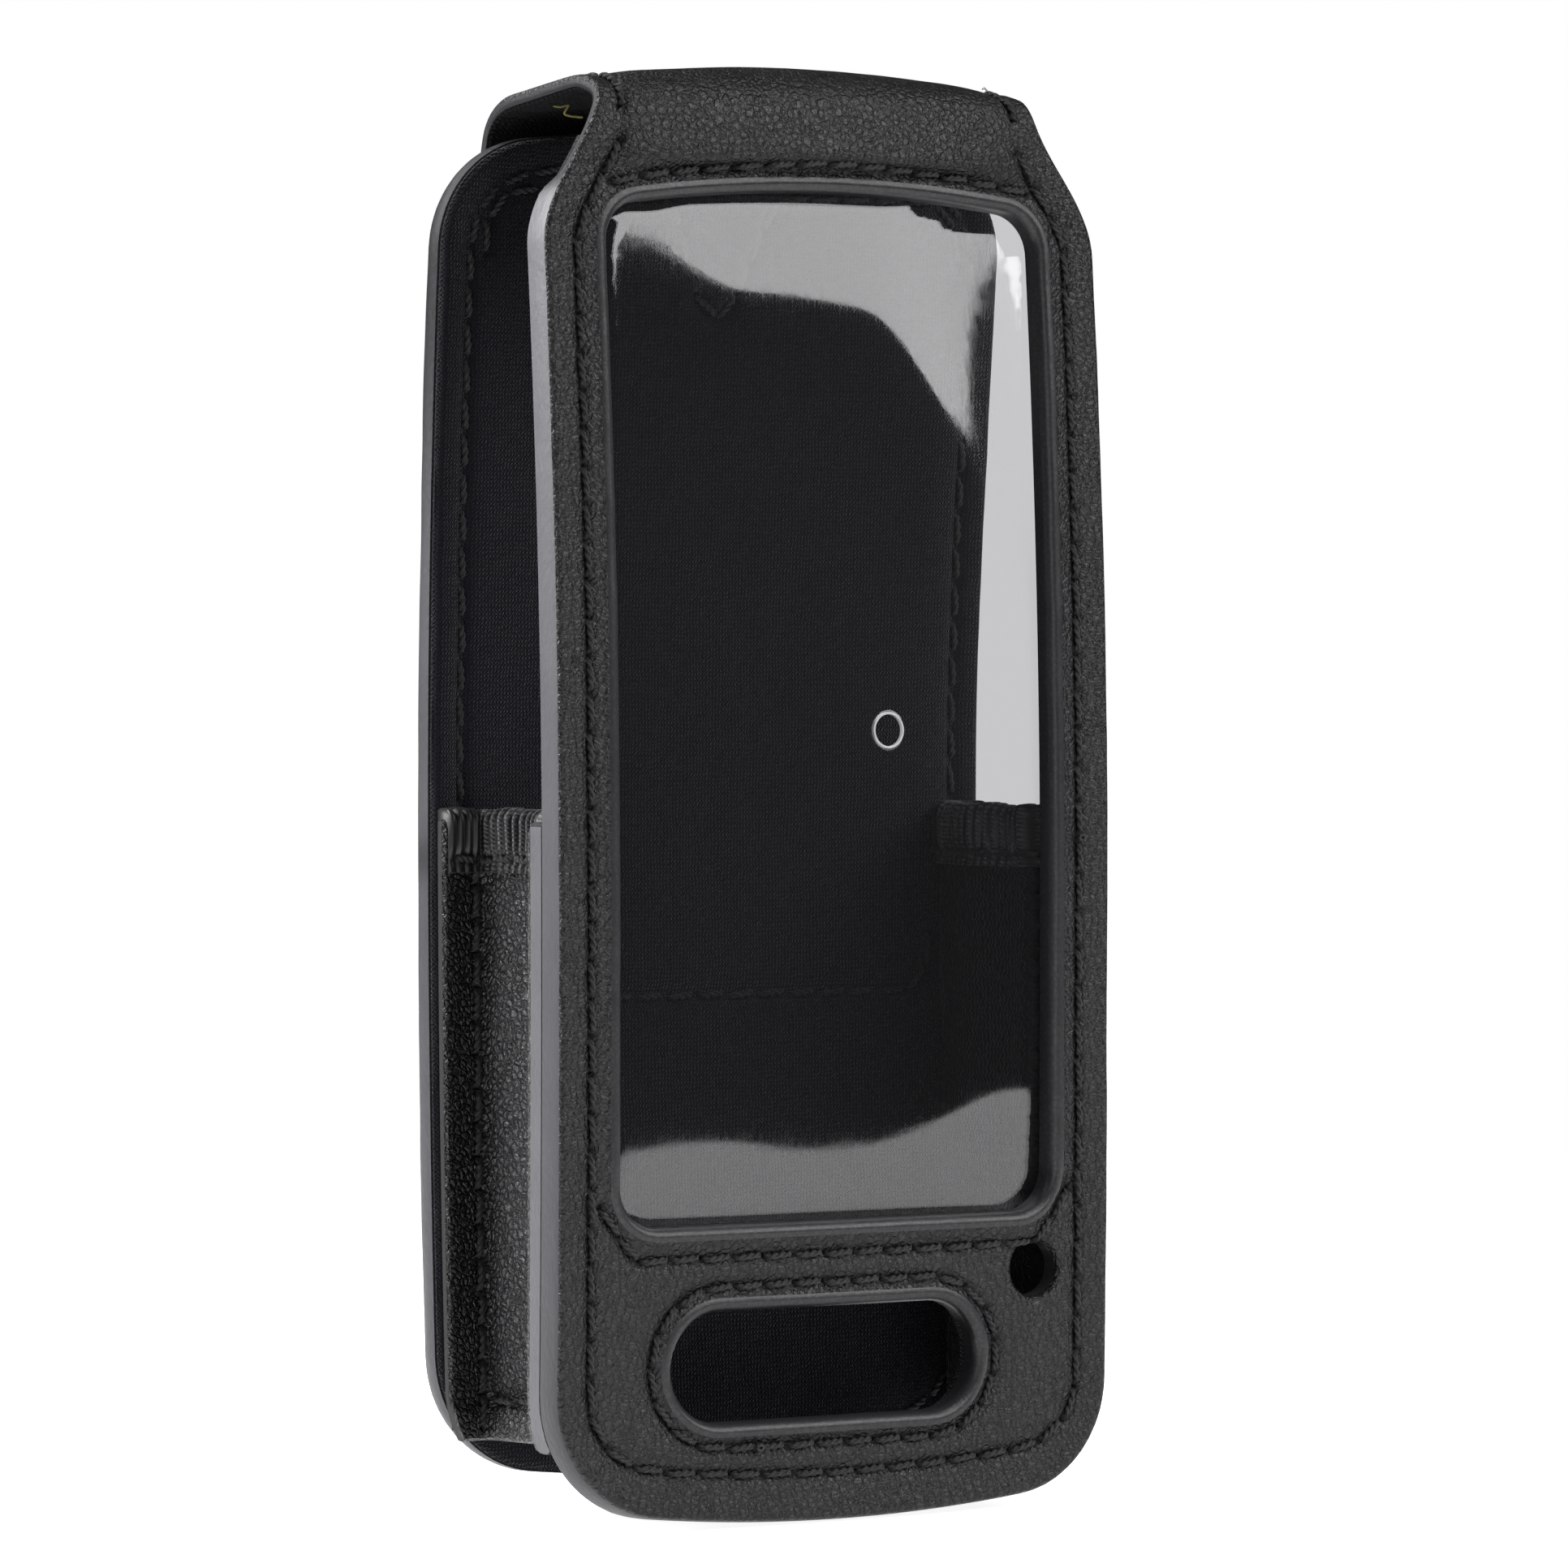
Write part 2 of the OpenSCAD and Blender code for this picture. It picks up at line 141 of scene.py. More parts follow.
def left_normals(path, closed):
    tangent = np.roll(path, -1, 0) - np.roll(path, 1, 0) if closed else np.gradient(path, axis=0)
    tangent = tangent / np.maximum(np.linalg.norm(tangent, axis=1, keepdims=True), 1e-9)
    return np.c_[-tangent[:, 1], tangent[:, 0]]


def even_line(path, count):
    """A path as evenly spaced points, with their lengths along it and its left normals."""
    pts, run = run_along(path)
    even = np.linspace(0, run[-1], count)
    pts = np.c_[np.interp(even, run, pts[:, 0]), np.interp(even, run, pts[:, 1])]
    return pts, even, left_normals(pts, False)


def off_line(line, at, n):
    """Points at a length along an even line and a distance to its left."""
    pts, run, normal = line
    return [np.interp(at, run, pts[:, k]) + n * np.interp(at, run, normal[:, k]) for k in (0, 1)]


def distance_to(points, path, closed=False):
    """Distance from each 2D point to a polyline."""
    pts, _ = run_along(path, closed)
    a, b = pts[:-1], pts[1:]
    ab = b - a
    length2 = (ab**2).sum(1)
    out = np.empty(len(points))
    for i in range(0, len(points), 2000):
        p = points[i : i + 2000, None, :]
        t = np.clip(((p - a) * ab).sum(2) / length2, 0, 1)
        out[i : i + 2000] = np.sqrt((((a + t[..., None] * ab) - p) ** 2).sum(2).min(1))
    return out


def distance_to_points(points, centres):
    out = np.empty(len(points))
    for i in range(0, len(points), 4000):
        d = points[i : i + 4000, None, :] - centres[None]
        out[i : i + 4000] = np.sqrt((d**2).sum(2).min(1))
    return out


def inside(points, loop):
    x, y = points[:, 0], points[:, 1]
    hit = np.zeros(len(points), bool)
    for (x1, y1), (x2, y2) in zip(loop, np.roll(loop, -1, 0)):
        if y1 != y2:
            hit ^= ((y1 > y) != (y2 > y)) & (x < (x2 - x1) * (y - y1) / (y2 - y1) + x1)
    return hit


def bump_at(d, width):
    return np.exp(-((d / width) ** 2))


def smooth(t):
    t = np.clip(t, 0, 1)
    return t * t * (3 - 2 * t)


def waviness(points, scale, amount, seed=0.0):
    """Slow unevenness that any soft leather has."""
    return amount * np.array(
        [noise.noise(Vector((a * scale, b * scale, seed))) for a, b in points]
    )


# ---- the hide's profile, front foot to tail end

FOOT_FLARE = 0.09
FLARE_L = 14.0
FOOT_BEND = 0.02
LEAN = 0.00125
LEAN_FROM = 60.0
BEND_S = FOLD_Z + 1.2
BEND_R = 5.6
TOP_ANGLE = math.pi / 2 + 0.12
TOP_L = 11.6
REAR_R = 6.5
TAIL_ANGLE = 2.92
TAIL_LEAN_L = 8.5
TAIL_CURVE_L = 3.0
TAIL_SPARE_L = 30
FOOT_BACK = -0.4


def hide_profile():
    """The hide's outer face from its front foot: lengths along it, y, z and the turn from upright."""
    step = 0.1
    lean = LEAN * (BEND_S - LEAN_FROM)
    turns = [
        (FLARE_L, -FOOT_BEND),
        (LEAN_FROM - FLARE_L, 0),
        (BEND_S - LEAN_FROM, lean),
        (BEND_R * (TOP_ANGLE - lean), TOP_ANGLE),
        (TOP_L, TOP_ANGLE),
        (REAR_R * (TAIL_ANGLE - TOP_ANGLE), TAIL_ANGLE),
        (TAIL_LEAN_L, TAIL_ANGLE),
        (TAIL_CURVE_L, math.pi),
        (TAIL_SPARE_L, math.pi),
    ]
    knots = np.cumsum([0] + [length for length, _ in turns])
    s = np.arange(-3, knots[-1], step)
    theta = np.interp(s, knots, [FOOT_FLARE] + [angle for _, angle in turns])
    kernel = np.hanning(31)
    padded = np.pad(theta, 15, mode="edge")
    theta = np.convolve(padded, kernel / kernel.sum(), mode="valid")
    y = np.cumsum(np.sin(theta)) * step
    z = np.cumsum(np.cos(theta)) * step
    zero = np.searchsorted(s, 0)
    return s, y - y[zero] + FOOT_BACK + FRONT_Y, z - z[zero], theta


PROFILE = hide_profile()
PANEL_CROWN = 0.5
FLAP_CROWN = 1.6
FLAP_TILT = -0.012


def wrap_hide(p, n):
    """Maps the hide's flat pattern (x, length) and depth n under its face to space."""
    s, y, z, theta = PROFILE
    at = p[:, 1]
    angle = np.interp(at, s, theta)
    py = np.interp(at, s, y) + n * np.cos(angle)
    pz = np.interp(at, s, z) - n * np.sin(angle)
    on_flap = smooth((at - BEND_S + 4) / 10) ** 2
    py = py + PANEL_CROWN * (p[:, 0] / HALF_W) ** 2 * (1 - on_flap)
    crown = FLAP_TILT * p[:, 0] - FLAP_CROWN * (p[:, 0] / FLAP_HALF) ** 2
    pz = pz + crown * on_flap * np.clip(np.sin(angle), 0, 1)
    return np.c_[p[:, 0], py, pz]


def length_at_rear(z_wanted):
    """Length along the hide where its rear part comes down to a height."""
    s, _, z, theta = PROFILE
    rear = theta > 2.0
    return float(np.interp(-z_wanted, -z[rear], s[rear]))


def panel_back_y(x, z):
    """The front panel's inner face."""
    s, y, pz, _ = PROFILE
    up = s < BEND_S
    return np.interp(z, pz[up], y[up]) + PANEL_CROWN * (x / HALF_W) ** 2 + FRONT_T


BACK_WIDER = 1.014


def back_bow(x, z):
    """The back panel bows rearwards at its middle, and its top right corner leans in."""
    bow = 1.6 - 1.4 * (np.clip(70 - z, 0, None) / 57) ** 2 - 2.1 * (np.clip(z - 70, 0, None) / 57) ** 2
    return bow - 1.8 * smooth((x - 8) / 26) * smooth((z - 74) / 56)


def wrap_back(p, n):
    """Maps the back panel's (x, z) and depth n under its rear face to space."""
    return np.c_[p[:, 0] * BACK_WIDER, BACK_Y + back_bow(p[:, 0], p[:, 1]) - n, p[:, 1]]


# ---- outlines

FOOT_R = 12.0
HEAD_R = 11.0
END_R = 200.0
SHOULDER_S = 126.0
SHOULDER_END = FOLD_Z + 4.5
SPLIT_S = length_at_rear(135.0)
TAIL_S = length_at_rear(TAIL_Z0)


def panel_end(corner_r, inset):
    """Right half of a panel's slightly curved end, up to the top of its corner."""
    cx = HALF_W - corner_r
    meet = math.degrees(math.asin(cx / (END_R - corner_r)))
    cz = END_R - (END_R - corner_r) * math.cos(math.radians(meet))
    return np.vstack(
        [arc(0, END_R, END_R - inset, 270, 270 + meet), arc(cx, cz, corner_r - inset, 270 + meet, 360)]
    )


def hide_half(at):
    """Half width of the hide against the length along it."""
    turn = np.clip((at - SHOULDER_S) / (SHOULDER_END - SHOULDER_S), 0, 1) * math.pi
    return FLAP_HALF + (HALF_W - FLAP_HALF) * (1 + np.cos(turn)) / 2


def hide_right(inset, top):
    """Right half of the hide's outline, moved inwards, from the foot up to a length along it."""
    at = np.r_[np.arange(SHOULDER_S, top, 0.8), top]
    slope = np.gradient(hide_half(at), at)
    nx = 1 / np.sqrt(1 + slope**2)
    edge = np.c_[hide_half(at) - inset * nx, at + inset * nx * slope]
    edge[:, 1] = np.minimum(edge[:, 1], top)
    return np.vstack([panel_end(FOOT_R, inset), edge])


def back_right(inset):
    head = panel_end(HEAD_R, inset)[::-1]
    return np.vstack([panel_end(FOOT_R, inset) + [0, BACK_Z0], np.c_[head[:, 0], BACK_Z1 - head[:, 1]]])


def round_rect(half_w, z0, z1, r, steps=8):
    foot = arc(half_w - r, z0 + r, r, 270, 360, steps)
    head = arc(half_w - r, z1 - r, r, 0, 90, steps)
    return both_sides(np.vstack([[[0, z0]], foot, head, [[0, z1]]]))


WINDOW_HALF = 25.5
WINDOW_Z0 = 29.6
WINDOW_Z1 = 130.4
WINDOW_RISE = 1.4
WINDOW_R = 4.2


def window_loop(grow=0.0):
    half = WINDOW_HALF + grow
    r = WINDOW_R + grow
    across = np.linspace(half - r, 0, 10)
    head = np.c_[across, WINDOW_Z1 + grow + WINDOW_RISE * (1 - (across / (half - r)) ** 2)]
    foot = arc(half - r, WINDOW_Z0 - grow + r, r, 270, 360)
    corner = arc(half - r, WINDOW_Z1 + grow - r, r, 0, 86)
    return both_sides(np.vstack([[[0, WINDOW_Z0 - grow]], foot, corner, head[1:]]))


SLOT_HALF = 18.0
SLOT_R = 5.5


def slot_loop(grow=0.0):
    r = SLOT_R + grow
    span = SLOT_HALF - SLOT_R
    loop = np.vstack([arc(span, 0, r, -90, 90, 20), arc(-span, 0, r, 90, 270, 20)])
    return loop + [SLOT_X, SLOT_Z]


MIC = (23.5, 23.8, 2.8)


def circle_loop(cx, cy, r, steps=40):
    return arc(cx, cy, r, 0, 360, steps)[:-1]


# ---- flat regions cut into triangles

RIM_STEPS = (0.12, 0.28, 0.48, 0.72, 1.0, 1.4, 1.9)
SEAM_BAND = (0.0, 0.3, 0.65, 1.1, 1.6)
SEAM_STEP = 0.38
SEAM_GAP = 0.22
HOLE_STEP = 0.6
HOLE_SIDES = 56


class Region:
    """A flat region with holes as a triangle mesh, finer along its edges and seams."""

    def __init__(self, outline, holes=(), seams=(), step=1.6, edge_step=0.8, rims=RIM_STEPS):
        loops = [resample(outline, edge_step, True)]
        for hole in holes:
            around = run_along(hole, True)[1][-1]
            loops.append(resample(hole, min(edge_step, HOLE_STEP, around / HOLE_SIDES), True))
        rings = []
        for k, loop in enumerate(loops):
            side = left_normals(loop, True) * (1 if k == 0 else -1)
            for d in rims:
                rings.append(self.keep_clear(loop + side * d, loops, d * 0.93))
        seam_points = [self.band(path) for path in seams]
        lo, hi = loops[0].min(0), loops[0].max(0)
        rows = []
        for j, b in enumerate(np.arange(lo[1], hi[1], step * 0.87)):
            a = np.arange(lo[0] + (step / 2 if j % 2 else 0), hi[0], step)
            rows.append(np.c_[a, np.full(len(a), b)])
        inner = max(rims) + 0.25 if rims else step * 0.5
        seam_points = np.vstack(seam_points) if seam_points else np.empty((0, 2))
        seam_points = self.keep_clear(seam_points, loops, inner)
        seam_points = self.thin(seam_points, SEAM_GAP)
        grid = self.keep_clear(np.vstack(rows), loops, max(inner, step * 0.4))
        if len(seam_points):
            grid = grid[distance_to_points(grid, seam_points) > 0.55 * step]
        self.triangulate(loops, np.vstack([*rings, seam_points, grid]))

    @staticmethod
    def band(path):
        line = resample(path, SEAM_STEP)
        side = left_normals(line, False)
        return np.vstack([line + side * d for off in SEAM_BAND for d in {off, -off}])

    @staticmethod
    def keep_clear(points, loops, gap):
        ok = inside(points, loops[0])
        for hole in loops[1:]:
            ok &= ~inside(points, hole)
        points = points[ok]
        for loop in loops:
            if len(points):
                points = points[distance_to(points, loop, True) >= gap]
        return points

    @staticmethod
    def thin(points, gap):
        cells, kept = {}, []
        for p in points:
            i, j = int(p[0] // gap), int(p[1] // gap)
            near = [q for di in (-1, 0, 1) for dj in (-1, 0, 1) for q in cells.get((i + di, j + dj), ())]
            if all((p[0] - q[0]) ** 2 + (p[1] - q[1]) ** 2 >= gap * gap for q in near):
                cells.setdefault((i, j), []).append(p)
                kept.append(p)
        return np.array(kept).reshape(-1, 2)

    def triangulate(self, loops, points):
        verts, edges, base = list(map(Vector, np.vstack(loops))), [], 0
        for loop in loops:
            n = len(loop)
            edges += [(base + i, base + (i + 1) % n) for i in range(n)]
            base += n
        verts += list(map(Vector, points))
        out = geometry.delaunay_2d_cdt(verts, edges, [], 0, 1e-6, False)
        self.p = np.array([tuple(v) for v in out[0]])
        tris = np.array([f for f in out[2] if len(f) == 3])
        centre = self.p[tris].mean(1)
        ok = inside(centre, loops[0])
        for hole in loops[1:]:
            ok &= ~inside(centre, hole)
        tris = tris[ok]
        a, b, c = self.p[tris[:, 0]], self.p[tris[:, 1]], self.p[tris[:, 2]]
        turn = (b - a)[:, 0] * (c - a)[:, 1] - (b - a)[:, 1] * (c - a)[:, 0]
        tris = tris[np.abs(turn) > 1e-7]
        turn = turn[np.abs(turn) > 1e-7]
        tris[turn < 0] = tris[turn < 0][:, ::-1]
        used = np.unique(tris)
        self.p = self.p[used]
        self.tris = np.searchsorted(used, tris)
        self.walls = self.boundary()
        self.d_out = distance_to(self.p, loops[0], True)
        self.d_hole = [distance_to(self.p, h, True) for h in loops[1:]]
        self.loops = loops

    def boundary(self):
        """Boundary edges as directed pairs, with the region on their left."""
        pairs = ((int(t[i]), int(t[(i + 1) % 3])) for t in self.tris for i in range(3))
        seen = dict.fromkeys(pairs)
        return np.array([e for e in seen if (e[1], e[0]) not in seen])


def make_mesh(name, verts, faces, mats, face_mats=None, attrs=None, sharp=55):
    mesh = bpy.data.meshes.new(name)
    mesh.from_pydata([tuple(v) for v in np.asarray(verts) * MM], [], faces)
    for m in mats:
        mesh.materials.append(m)
    if face_mats is not None:
        mesh.polygons.foreach_set("material_index", np.asarray(face_mats, np.int32))
    for key, values in (attrs or {}).items():
        values = np.asarray(values, np.float32)
        kind = "FLOAT_VECTOR" if values.ndim == 2 else "FLOAT"
        layer = mesh.attributes.new(key, kind, "POINT")
        layer.data.foreach_set("vector" if values.ndim == 2 else "value", values.ravel())
    bm = bmesh.new()
    bm.from_mesh(mesh)
    bmesh.ops.recalc_face_normals(bm, faces=bm.faces)
    bm.to_mesh(mesh)
    bm.free()
    mesh.shade_smooth()
    mesh.set_sharp_from_angle(angle=math.radians(sharp))
    obj = bpy.data.objects.new(name, mesh)
    bpy.context.scene.collection.objects.link(obj)
    return obj


def sheet(name, region, wrap, outer, inner, mats, rows=3, bulge=0.0, attrs=None):
    """A closed sheet over a region. outer and inner give the depth of its two faces at each point.

    mats are the outer face, the inner face, the outer edge and the edges of the holes, as far as given.
    """
    p, count = region.p, len(region.p)
    verts = [wrap(p, outer), wrap(p, inner)]
    flat = [np.c_[p, outer], np.c_[p, inner]]
    extra = {k: [v, v] for k, v in (attrs or {}).items()}
    faces = [tuple(t) for t in region.tris] + [tuple(t[::-1] + count) for t in region.tris]
    face_mats = [0] * len(region.tris) + [1 % len(mats)] * len(region.tris)
    edge = region.walls
    on_edge = np.unique(edge)
    away = np.zeros((count, 2))
    d = p[edge[:, 1]] - p[edge[:, 0]]
    right = np.c_[d[:, 1], -d[:, 0]] / np.maximum(np.linalg.norm(d, axis=1, keepdims=True), 1e-9)
    np.add.at(away, edge[:, 0], right)
    np.add.at(away, edge[:, 1], right)
    away = away[on_edge] / np.maximum(np.linalg.norm(away[on_edge], axis=1, keepdims=True), 1e-9)
    outer_edge = region.d_out[on_edge] < 1e-4
    base = 2 * count
    slot_of = np.full(count, -1)
    slot_of[on_edge] = np.arange(len(on_edge))
    for k in range(1, rows + 1):
        t = k / (rows + 1)
        swell = np.where(outer_edge, bulge * math.sin(math.pi * t), 0)
        q = p[on_edge] + away * swell[:, None]
        n = outer[on_edge] * (1 - t) + inner[on_edge] * t
        verts.append(wrap(q, n))
        flat.append(np.c_[q, n])
        for key in extra:
            extra[key].append(extra[key][0][on_edge])
    wall_index = 2 % len(mats)
    for a, b in edge:
        ia, ib = slot_of[a], slot_of[b]
        col_a = [a] + [base + k * len(on_edge) + ia for k in range(rows)] + [a + count]
        col_b = [b] + [base + k * len(on_edge) + ib for k in range(rows)] + [b + count]
        hole = region.d_out[a] > 1e-4
        for k in range(rows + 1):
            faces.append((col_b[k], col_a[k], col_a[k + 1], col_b[k + 1]))
            face_mats.append(min(3, len(mats) - 1) if hole and len(mats) > 3 else wall_index)
    all_attrs = {k: np.concatenate(v) for k, v in extra.items()}
    all_attrs["flat"] = np.vstack(flat)
    return make_mesh(name, np.vstack(verts), faces, mats, face_mats, all_attrs)


def grid_solid(name, points, mats, attrs=None, sharp=55):
    """A closed skin from a (rows, columns, 3) array whose rows run round a cross-section."""
    rows, cols = points.shape[:2]
    verts = points.reshape(-1, 3)
    faces = []
    for i in range(rows):
        j2 = (i + 1) % rows
        for j in range(cols - 1):
            faces.append((i * cols + j, i * cols + j + 1, j2 * cols + j + 1, j2 * cols + j))
    faces.append(tuple(i * cols for i in range(rows)))
    faces.append(tuple(i * cols + cols - 1 for i in reversed(range(rows))))
    return make_mesh(name, verts, faces, mats, None, attrs, sharp)


# ---- sewing

STITCH_PITCH = 3.7
THREAD_SINK = 0.42
MIN_T = 0.35


def thread(name, runs, mat, r=0.26, turns=1.9, sides=6, steps=16, lift=0.28, slant=0.16):
    """Two-ply stitches. Each run is (holes, wrap, depth, up, closed) and may end with its own radius.

    depth is the face's depth or a function that gives it. up is -1 on a face and 1 on its reverse.
    """
    verts, faces, flats = [], [], []
    u = np.linspace(0, 1, steps + 1)
    psi = np.linspace(0, 2 * math.pi, sides, endpoint=False)
    total = 0
    for holes, wrap, depth, up, closed, *size in runs:
        r_run = size[0] if size else r
        ends = np.vstack([holes, holes[:1]]) if closed else holes
        for k in range(len(ends) - 1):
            a, b = ends[k], ends[k + 1]
            along = b - a
            along = along / max(np.linalg.norm(along), 1e-9)
            across = np.array([-along[1], along[0]])
            level = depth(np.array([(a + b) / 2]))[0] if callable(depth) else depth
            wobble = RNG.normal(0, 0.035, 2)
            high_n = level + up * (lift * np.sin(math.pi * u) ** 0.5 + wobble[0] * np.sin(math.pi * u))
            n_c = high_n - up * 0.75 * np.abs(2 * u - 1) ** 7
            side_c = slant * (2 * u - 1) + wobble[1] * np.sin(math.pi * u)
            centre = a + np.outer(0.03 + 0.94 * u, b - a)
            phase = RNG.uniform(0, math.pi)
            for strand in (0, 1):
                phi = 2 * math.pi * turns * u + strand * math.pi + phase
                rad = r_run * (1 - 0.4 * np.abs(2 * u - 1) ** 4)
                off_side = side_c + 0.62 * rad * np.cos(phi)
                off_n = n_c + 0.5 * rad * np.sin(phi)
                ring_side = off_side[:, None] + rad[:, None] * np.cos(psi) * 0.8
                ring_n = off_n[:, None] + rad[:, None] * np.sin(psi) * 0.8
                pts = centre[:, None, :] + ring_side[..., None] * across
                block = wrap(pts.reshape(-1, 2), ring_n.ravel())
                verts.append(block)
                lengths = np.repeat(u, sides) * 4 + strand
                flats.append(np.c_[lengths, np.tile(psi, steps + 1), np.full(len(block), k)])
                for i in range(steps):
                    here = total + i * sides
                    for j in range(sides):
                        j2 = (j + 1) % sides
                        faces.append((here + j, here + j2, here + sides + j2, here + sides + j))
                faces.append(tuple(range(total, total + sides)))
                faces.append(tuple(reversed(range(total + steps * sides, total + (steps + 1) * sides))))
                total += len(block)
    return make_mesh(name, np.vstack(verts), faces, [mat], None, {"flat": np.vstack(flats)}, 80)


def sewn(p, paths, holes, deep=0.3, wide=0.2):
    """How far a row of stitches pulls the leather in."""
    pull = np.zeros(len(p))
    for path, hole in zip(paths, holes):
        d = distance_to(p, path)
        pull += deep * bump_at(d, 0.5) + wide * bump_at(d, 1.9)
        pull += 0.4 * bump_at(distance_to_points(p, hole), 0.34)
    return pull


def painted_seam_shade(p, holes, paths=()):
    """Painted shade: 1 at each needle hole, falling off round it, and fainter along the seam's groove."""
    dark = bump_at(distance_to_points(p, np.vstack(holes)), 0.36)
    for path in paths:
        dark = np.maximum(dark, 0.45 * bump_at(distance_to(p, path), 0.42))
    return dark


def round_edge(d, r):
    return np.where(d < r, r - np.sqrt(np.clip(r * r - (r - d) ** 2, 0, None)), 0)


def cut_edge(d):
    """A cut edge: its corner rounded over, with a slight swell just inside it."""
    return round_edge(d, 0.4) - 0.1 * bump_at(d - 0.9, 0.6)


def lip(d):
    """A smooth rolled rim round an opening: a round nose, a raised bead and a shallow gutter."""
    return round_edge(d, 0.85) - 0.22 * bump_at(d - 0.95, 0.6) + 0.06 * bump_at(d - 1.8, 0.3)


# ---- materials


def add(nt, kind, inputs=None, **props):
    node = nt.nodes.new("ShaderNode" + kind)
    for key, value in props.items():
        setattr(node, key, value)
    for key, value in (inputs or {}).items():
        if isinstance(value, bpy.types.NodeSocket):
            nt.links.new(value, node.inputs[key])
        else:
            node.inputs[key].default_value = value
    return node


def begin(name):
    m = bpy.data.materials.new(name)
    m.use_nodes = True
    m.node_tree.nodes.clear()
    return m, m.node_tree


def mesh_value(nt, name):
    return add(nt, "Attribute", attribute_name=name).outputs["Fac"]


def flat_coords(nt, scale=(1, 1, 1)):
    """Places in the flat pattern, in millimetres, stretched by a scale."""
    where = add(nt, "Attribute", attribute_name="flat")
    return add(nt, "VectorMath", {0: where.outputs["Vector"], 1: scale}, operation="MULTIPLY").outputs[0]


def maths(nt, how, a, b=0.0, c=0.0):
    return add(nt, "Math", {0: a, 1: b, 2: c}, operation=how).outputs[0]


def mul(nt, a, b):
    return maths(nt, "MULTIPLY", a, b)


def mul_add(nt, a, b, c):
    return maths(nt, "MULTIPLY_ADD", a, b, c)


def map_range(nt, value, lows, highs, **props):
    """Maps a value from lows[0]..highs[0] to lows[1]..highs[1], and holds it there outside."""
    limits = {"From Min": lows[0], "From Max": highs[0], "To Min": lows[1], "To Max": highs[1]}
    return add(nt, "MapRange", {"Value": value, **limits}, **props).outputs[0]


def noise_of(nt, coords, scale, detail=2.0, rough=0.5):
    inputs = {"Vector": coords, "Scale": scale, "Detail": detail, "Roughness": rough}
    return add(nt, "TexNoise", inputs).outputs[0]


def cells_of(nt, coords, scale, soft=0.6):
    inputs = {"Vector": coords, "Scale": scale, "Smoothness": soft}
    return add(nt, "TexVoronoi", inputs, feature="SMOOTH_F1").outputs["Distance"]


def cracks_of(nt, coords, scale):
    """0 in the fine creases between pebbles, 1 on their rounded tops."""
    edge = add(nt, "TexVoronoi", {"Vector": coords, "Scale": scale}, feature="DISTANCE_TO_EDGE")
    return map_range(nt, edge.outputs["Distance"], (0, 0), (0.26, 1), interpolation_type="SMOOTHSTEP")


def between(nt, t, a, b):
    """Colour a where t is 0 and colour b where it is 1. a may be another node's colour."""
    first = a if isinstance(a, bpy.types.NodeSocket) else (*a, 1)
    return add(nt, "Mix", {0: t, 6: first, 7: (*b, 1)}, data_type="RGBA").outputs[2]


def bump(nt, height, depth_mm, normal=None):
    inputs = {"Height": height, "Strength": 1.0, "Distance": depth_mm * MM}
    if normal is not None:
        inputs["Normal"] = normal
    return add(nt, "Bump", inputs).outputs[0]


def close(m, nt, color, rough, normal, gloss, sheen=0.0, sheen_rough=0.5):
    inputs = {"Base Color": color, "Roughness": rough, "Normal": normal, "Specular IOR Level": gloss}
    inputs.update({"Sheen Weight": sheen, "Sheen Roughness": sheen_rough})
    shader = add(nt, "BsdfPrincipled", inputs)
    out = add(nt, "OutputMaterial")
    nt.links.new(shader.outputs[0], out.inputs[0])
    return m


def leather(name, tone, pale_tone, cell=0.8, grain=0.12, rough=(0.3, 0.4), wrinkle=0.05, shine=0.42):
    """Pebbled leather. The mesh's fine attribute evens the pebbles, and another attribute paints near-black
    shade into needle holes, seam grooves and the shaded rear flange.
    """
    m, nt = begin(name)
    c = flat_coords(nt)
    drift = add(nt, "TexNoise", {"Vector": c, "Scale": 1.2, "Detail": 3.0}).outputs["Color"]
    bent = add(nt, "VectorMath", {0: drift, 1: (0.4, 0.4, 0.4), 2: c}, operation="MULTIPLY_ADD").outputs[0]
    pebble = cracks_of(nt, bent, 1 / cell)
    small = cracks_of(nt, bent, 2.3 / cell)
    pores = noise_of(nt, c, 5.5, 2, 0.5)
    keep = mul_add(nt, mesh_value(nt, "fine"), -0.35, 1.0)
    height = mul_add(nt, small, 0.25, mul(nt, pebble, keep))
    groove = mul(nt, maths(nt, "SUBTRACT", 1.0, pebble), keep)
    height = mul_add(nt, pores, 0.14, height)
    creases = noise_of(nt, c, 0.9, 3, 0.6)
    patches = noise_of(nt, c, 0.11, 3, 0.55)
    normal = bump(nt, creases, wrinkle)
    normal = bump(nt, height, grain, normal)
    # Painted shade: the creases between pebbles are coloured darker than the pebble tops; the patches are
    # the leather's own uneven tone.
    t = mul_add(nt, groove, -0.6, mul_add(nt, patches, 0.3, 0.7))
    roughness = map_range(nt, patches, (0.3, rough[0]), (0.7, rough[1]))
    # Painted shade: near black where the needle holes, seam grooves and rear flange lie in shade.
    painted_shade = mesh_value(nt, "painted_shade")
    shade = between(nt, painted_shade, between(nt, t, tone, pale_tone), (0.002, 0.002, 0.002))
    gloss = mul_add(nt, groove, -0.4 * shine, shine)
    gloss = mul(nt, gloss, maths(nt, "SUBTRACT", 1.0, painted_shade))
    return close(m, nt, shade, roughness, normal, gloss)


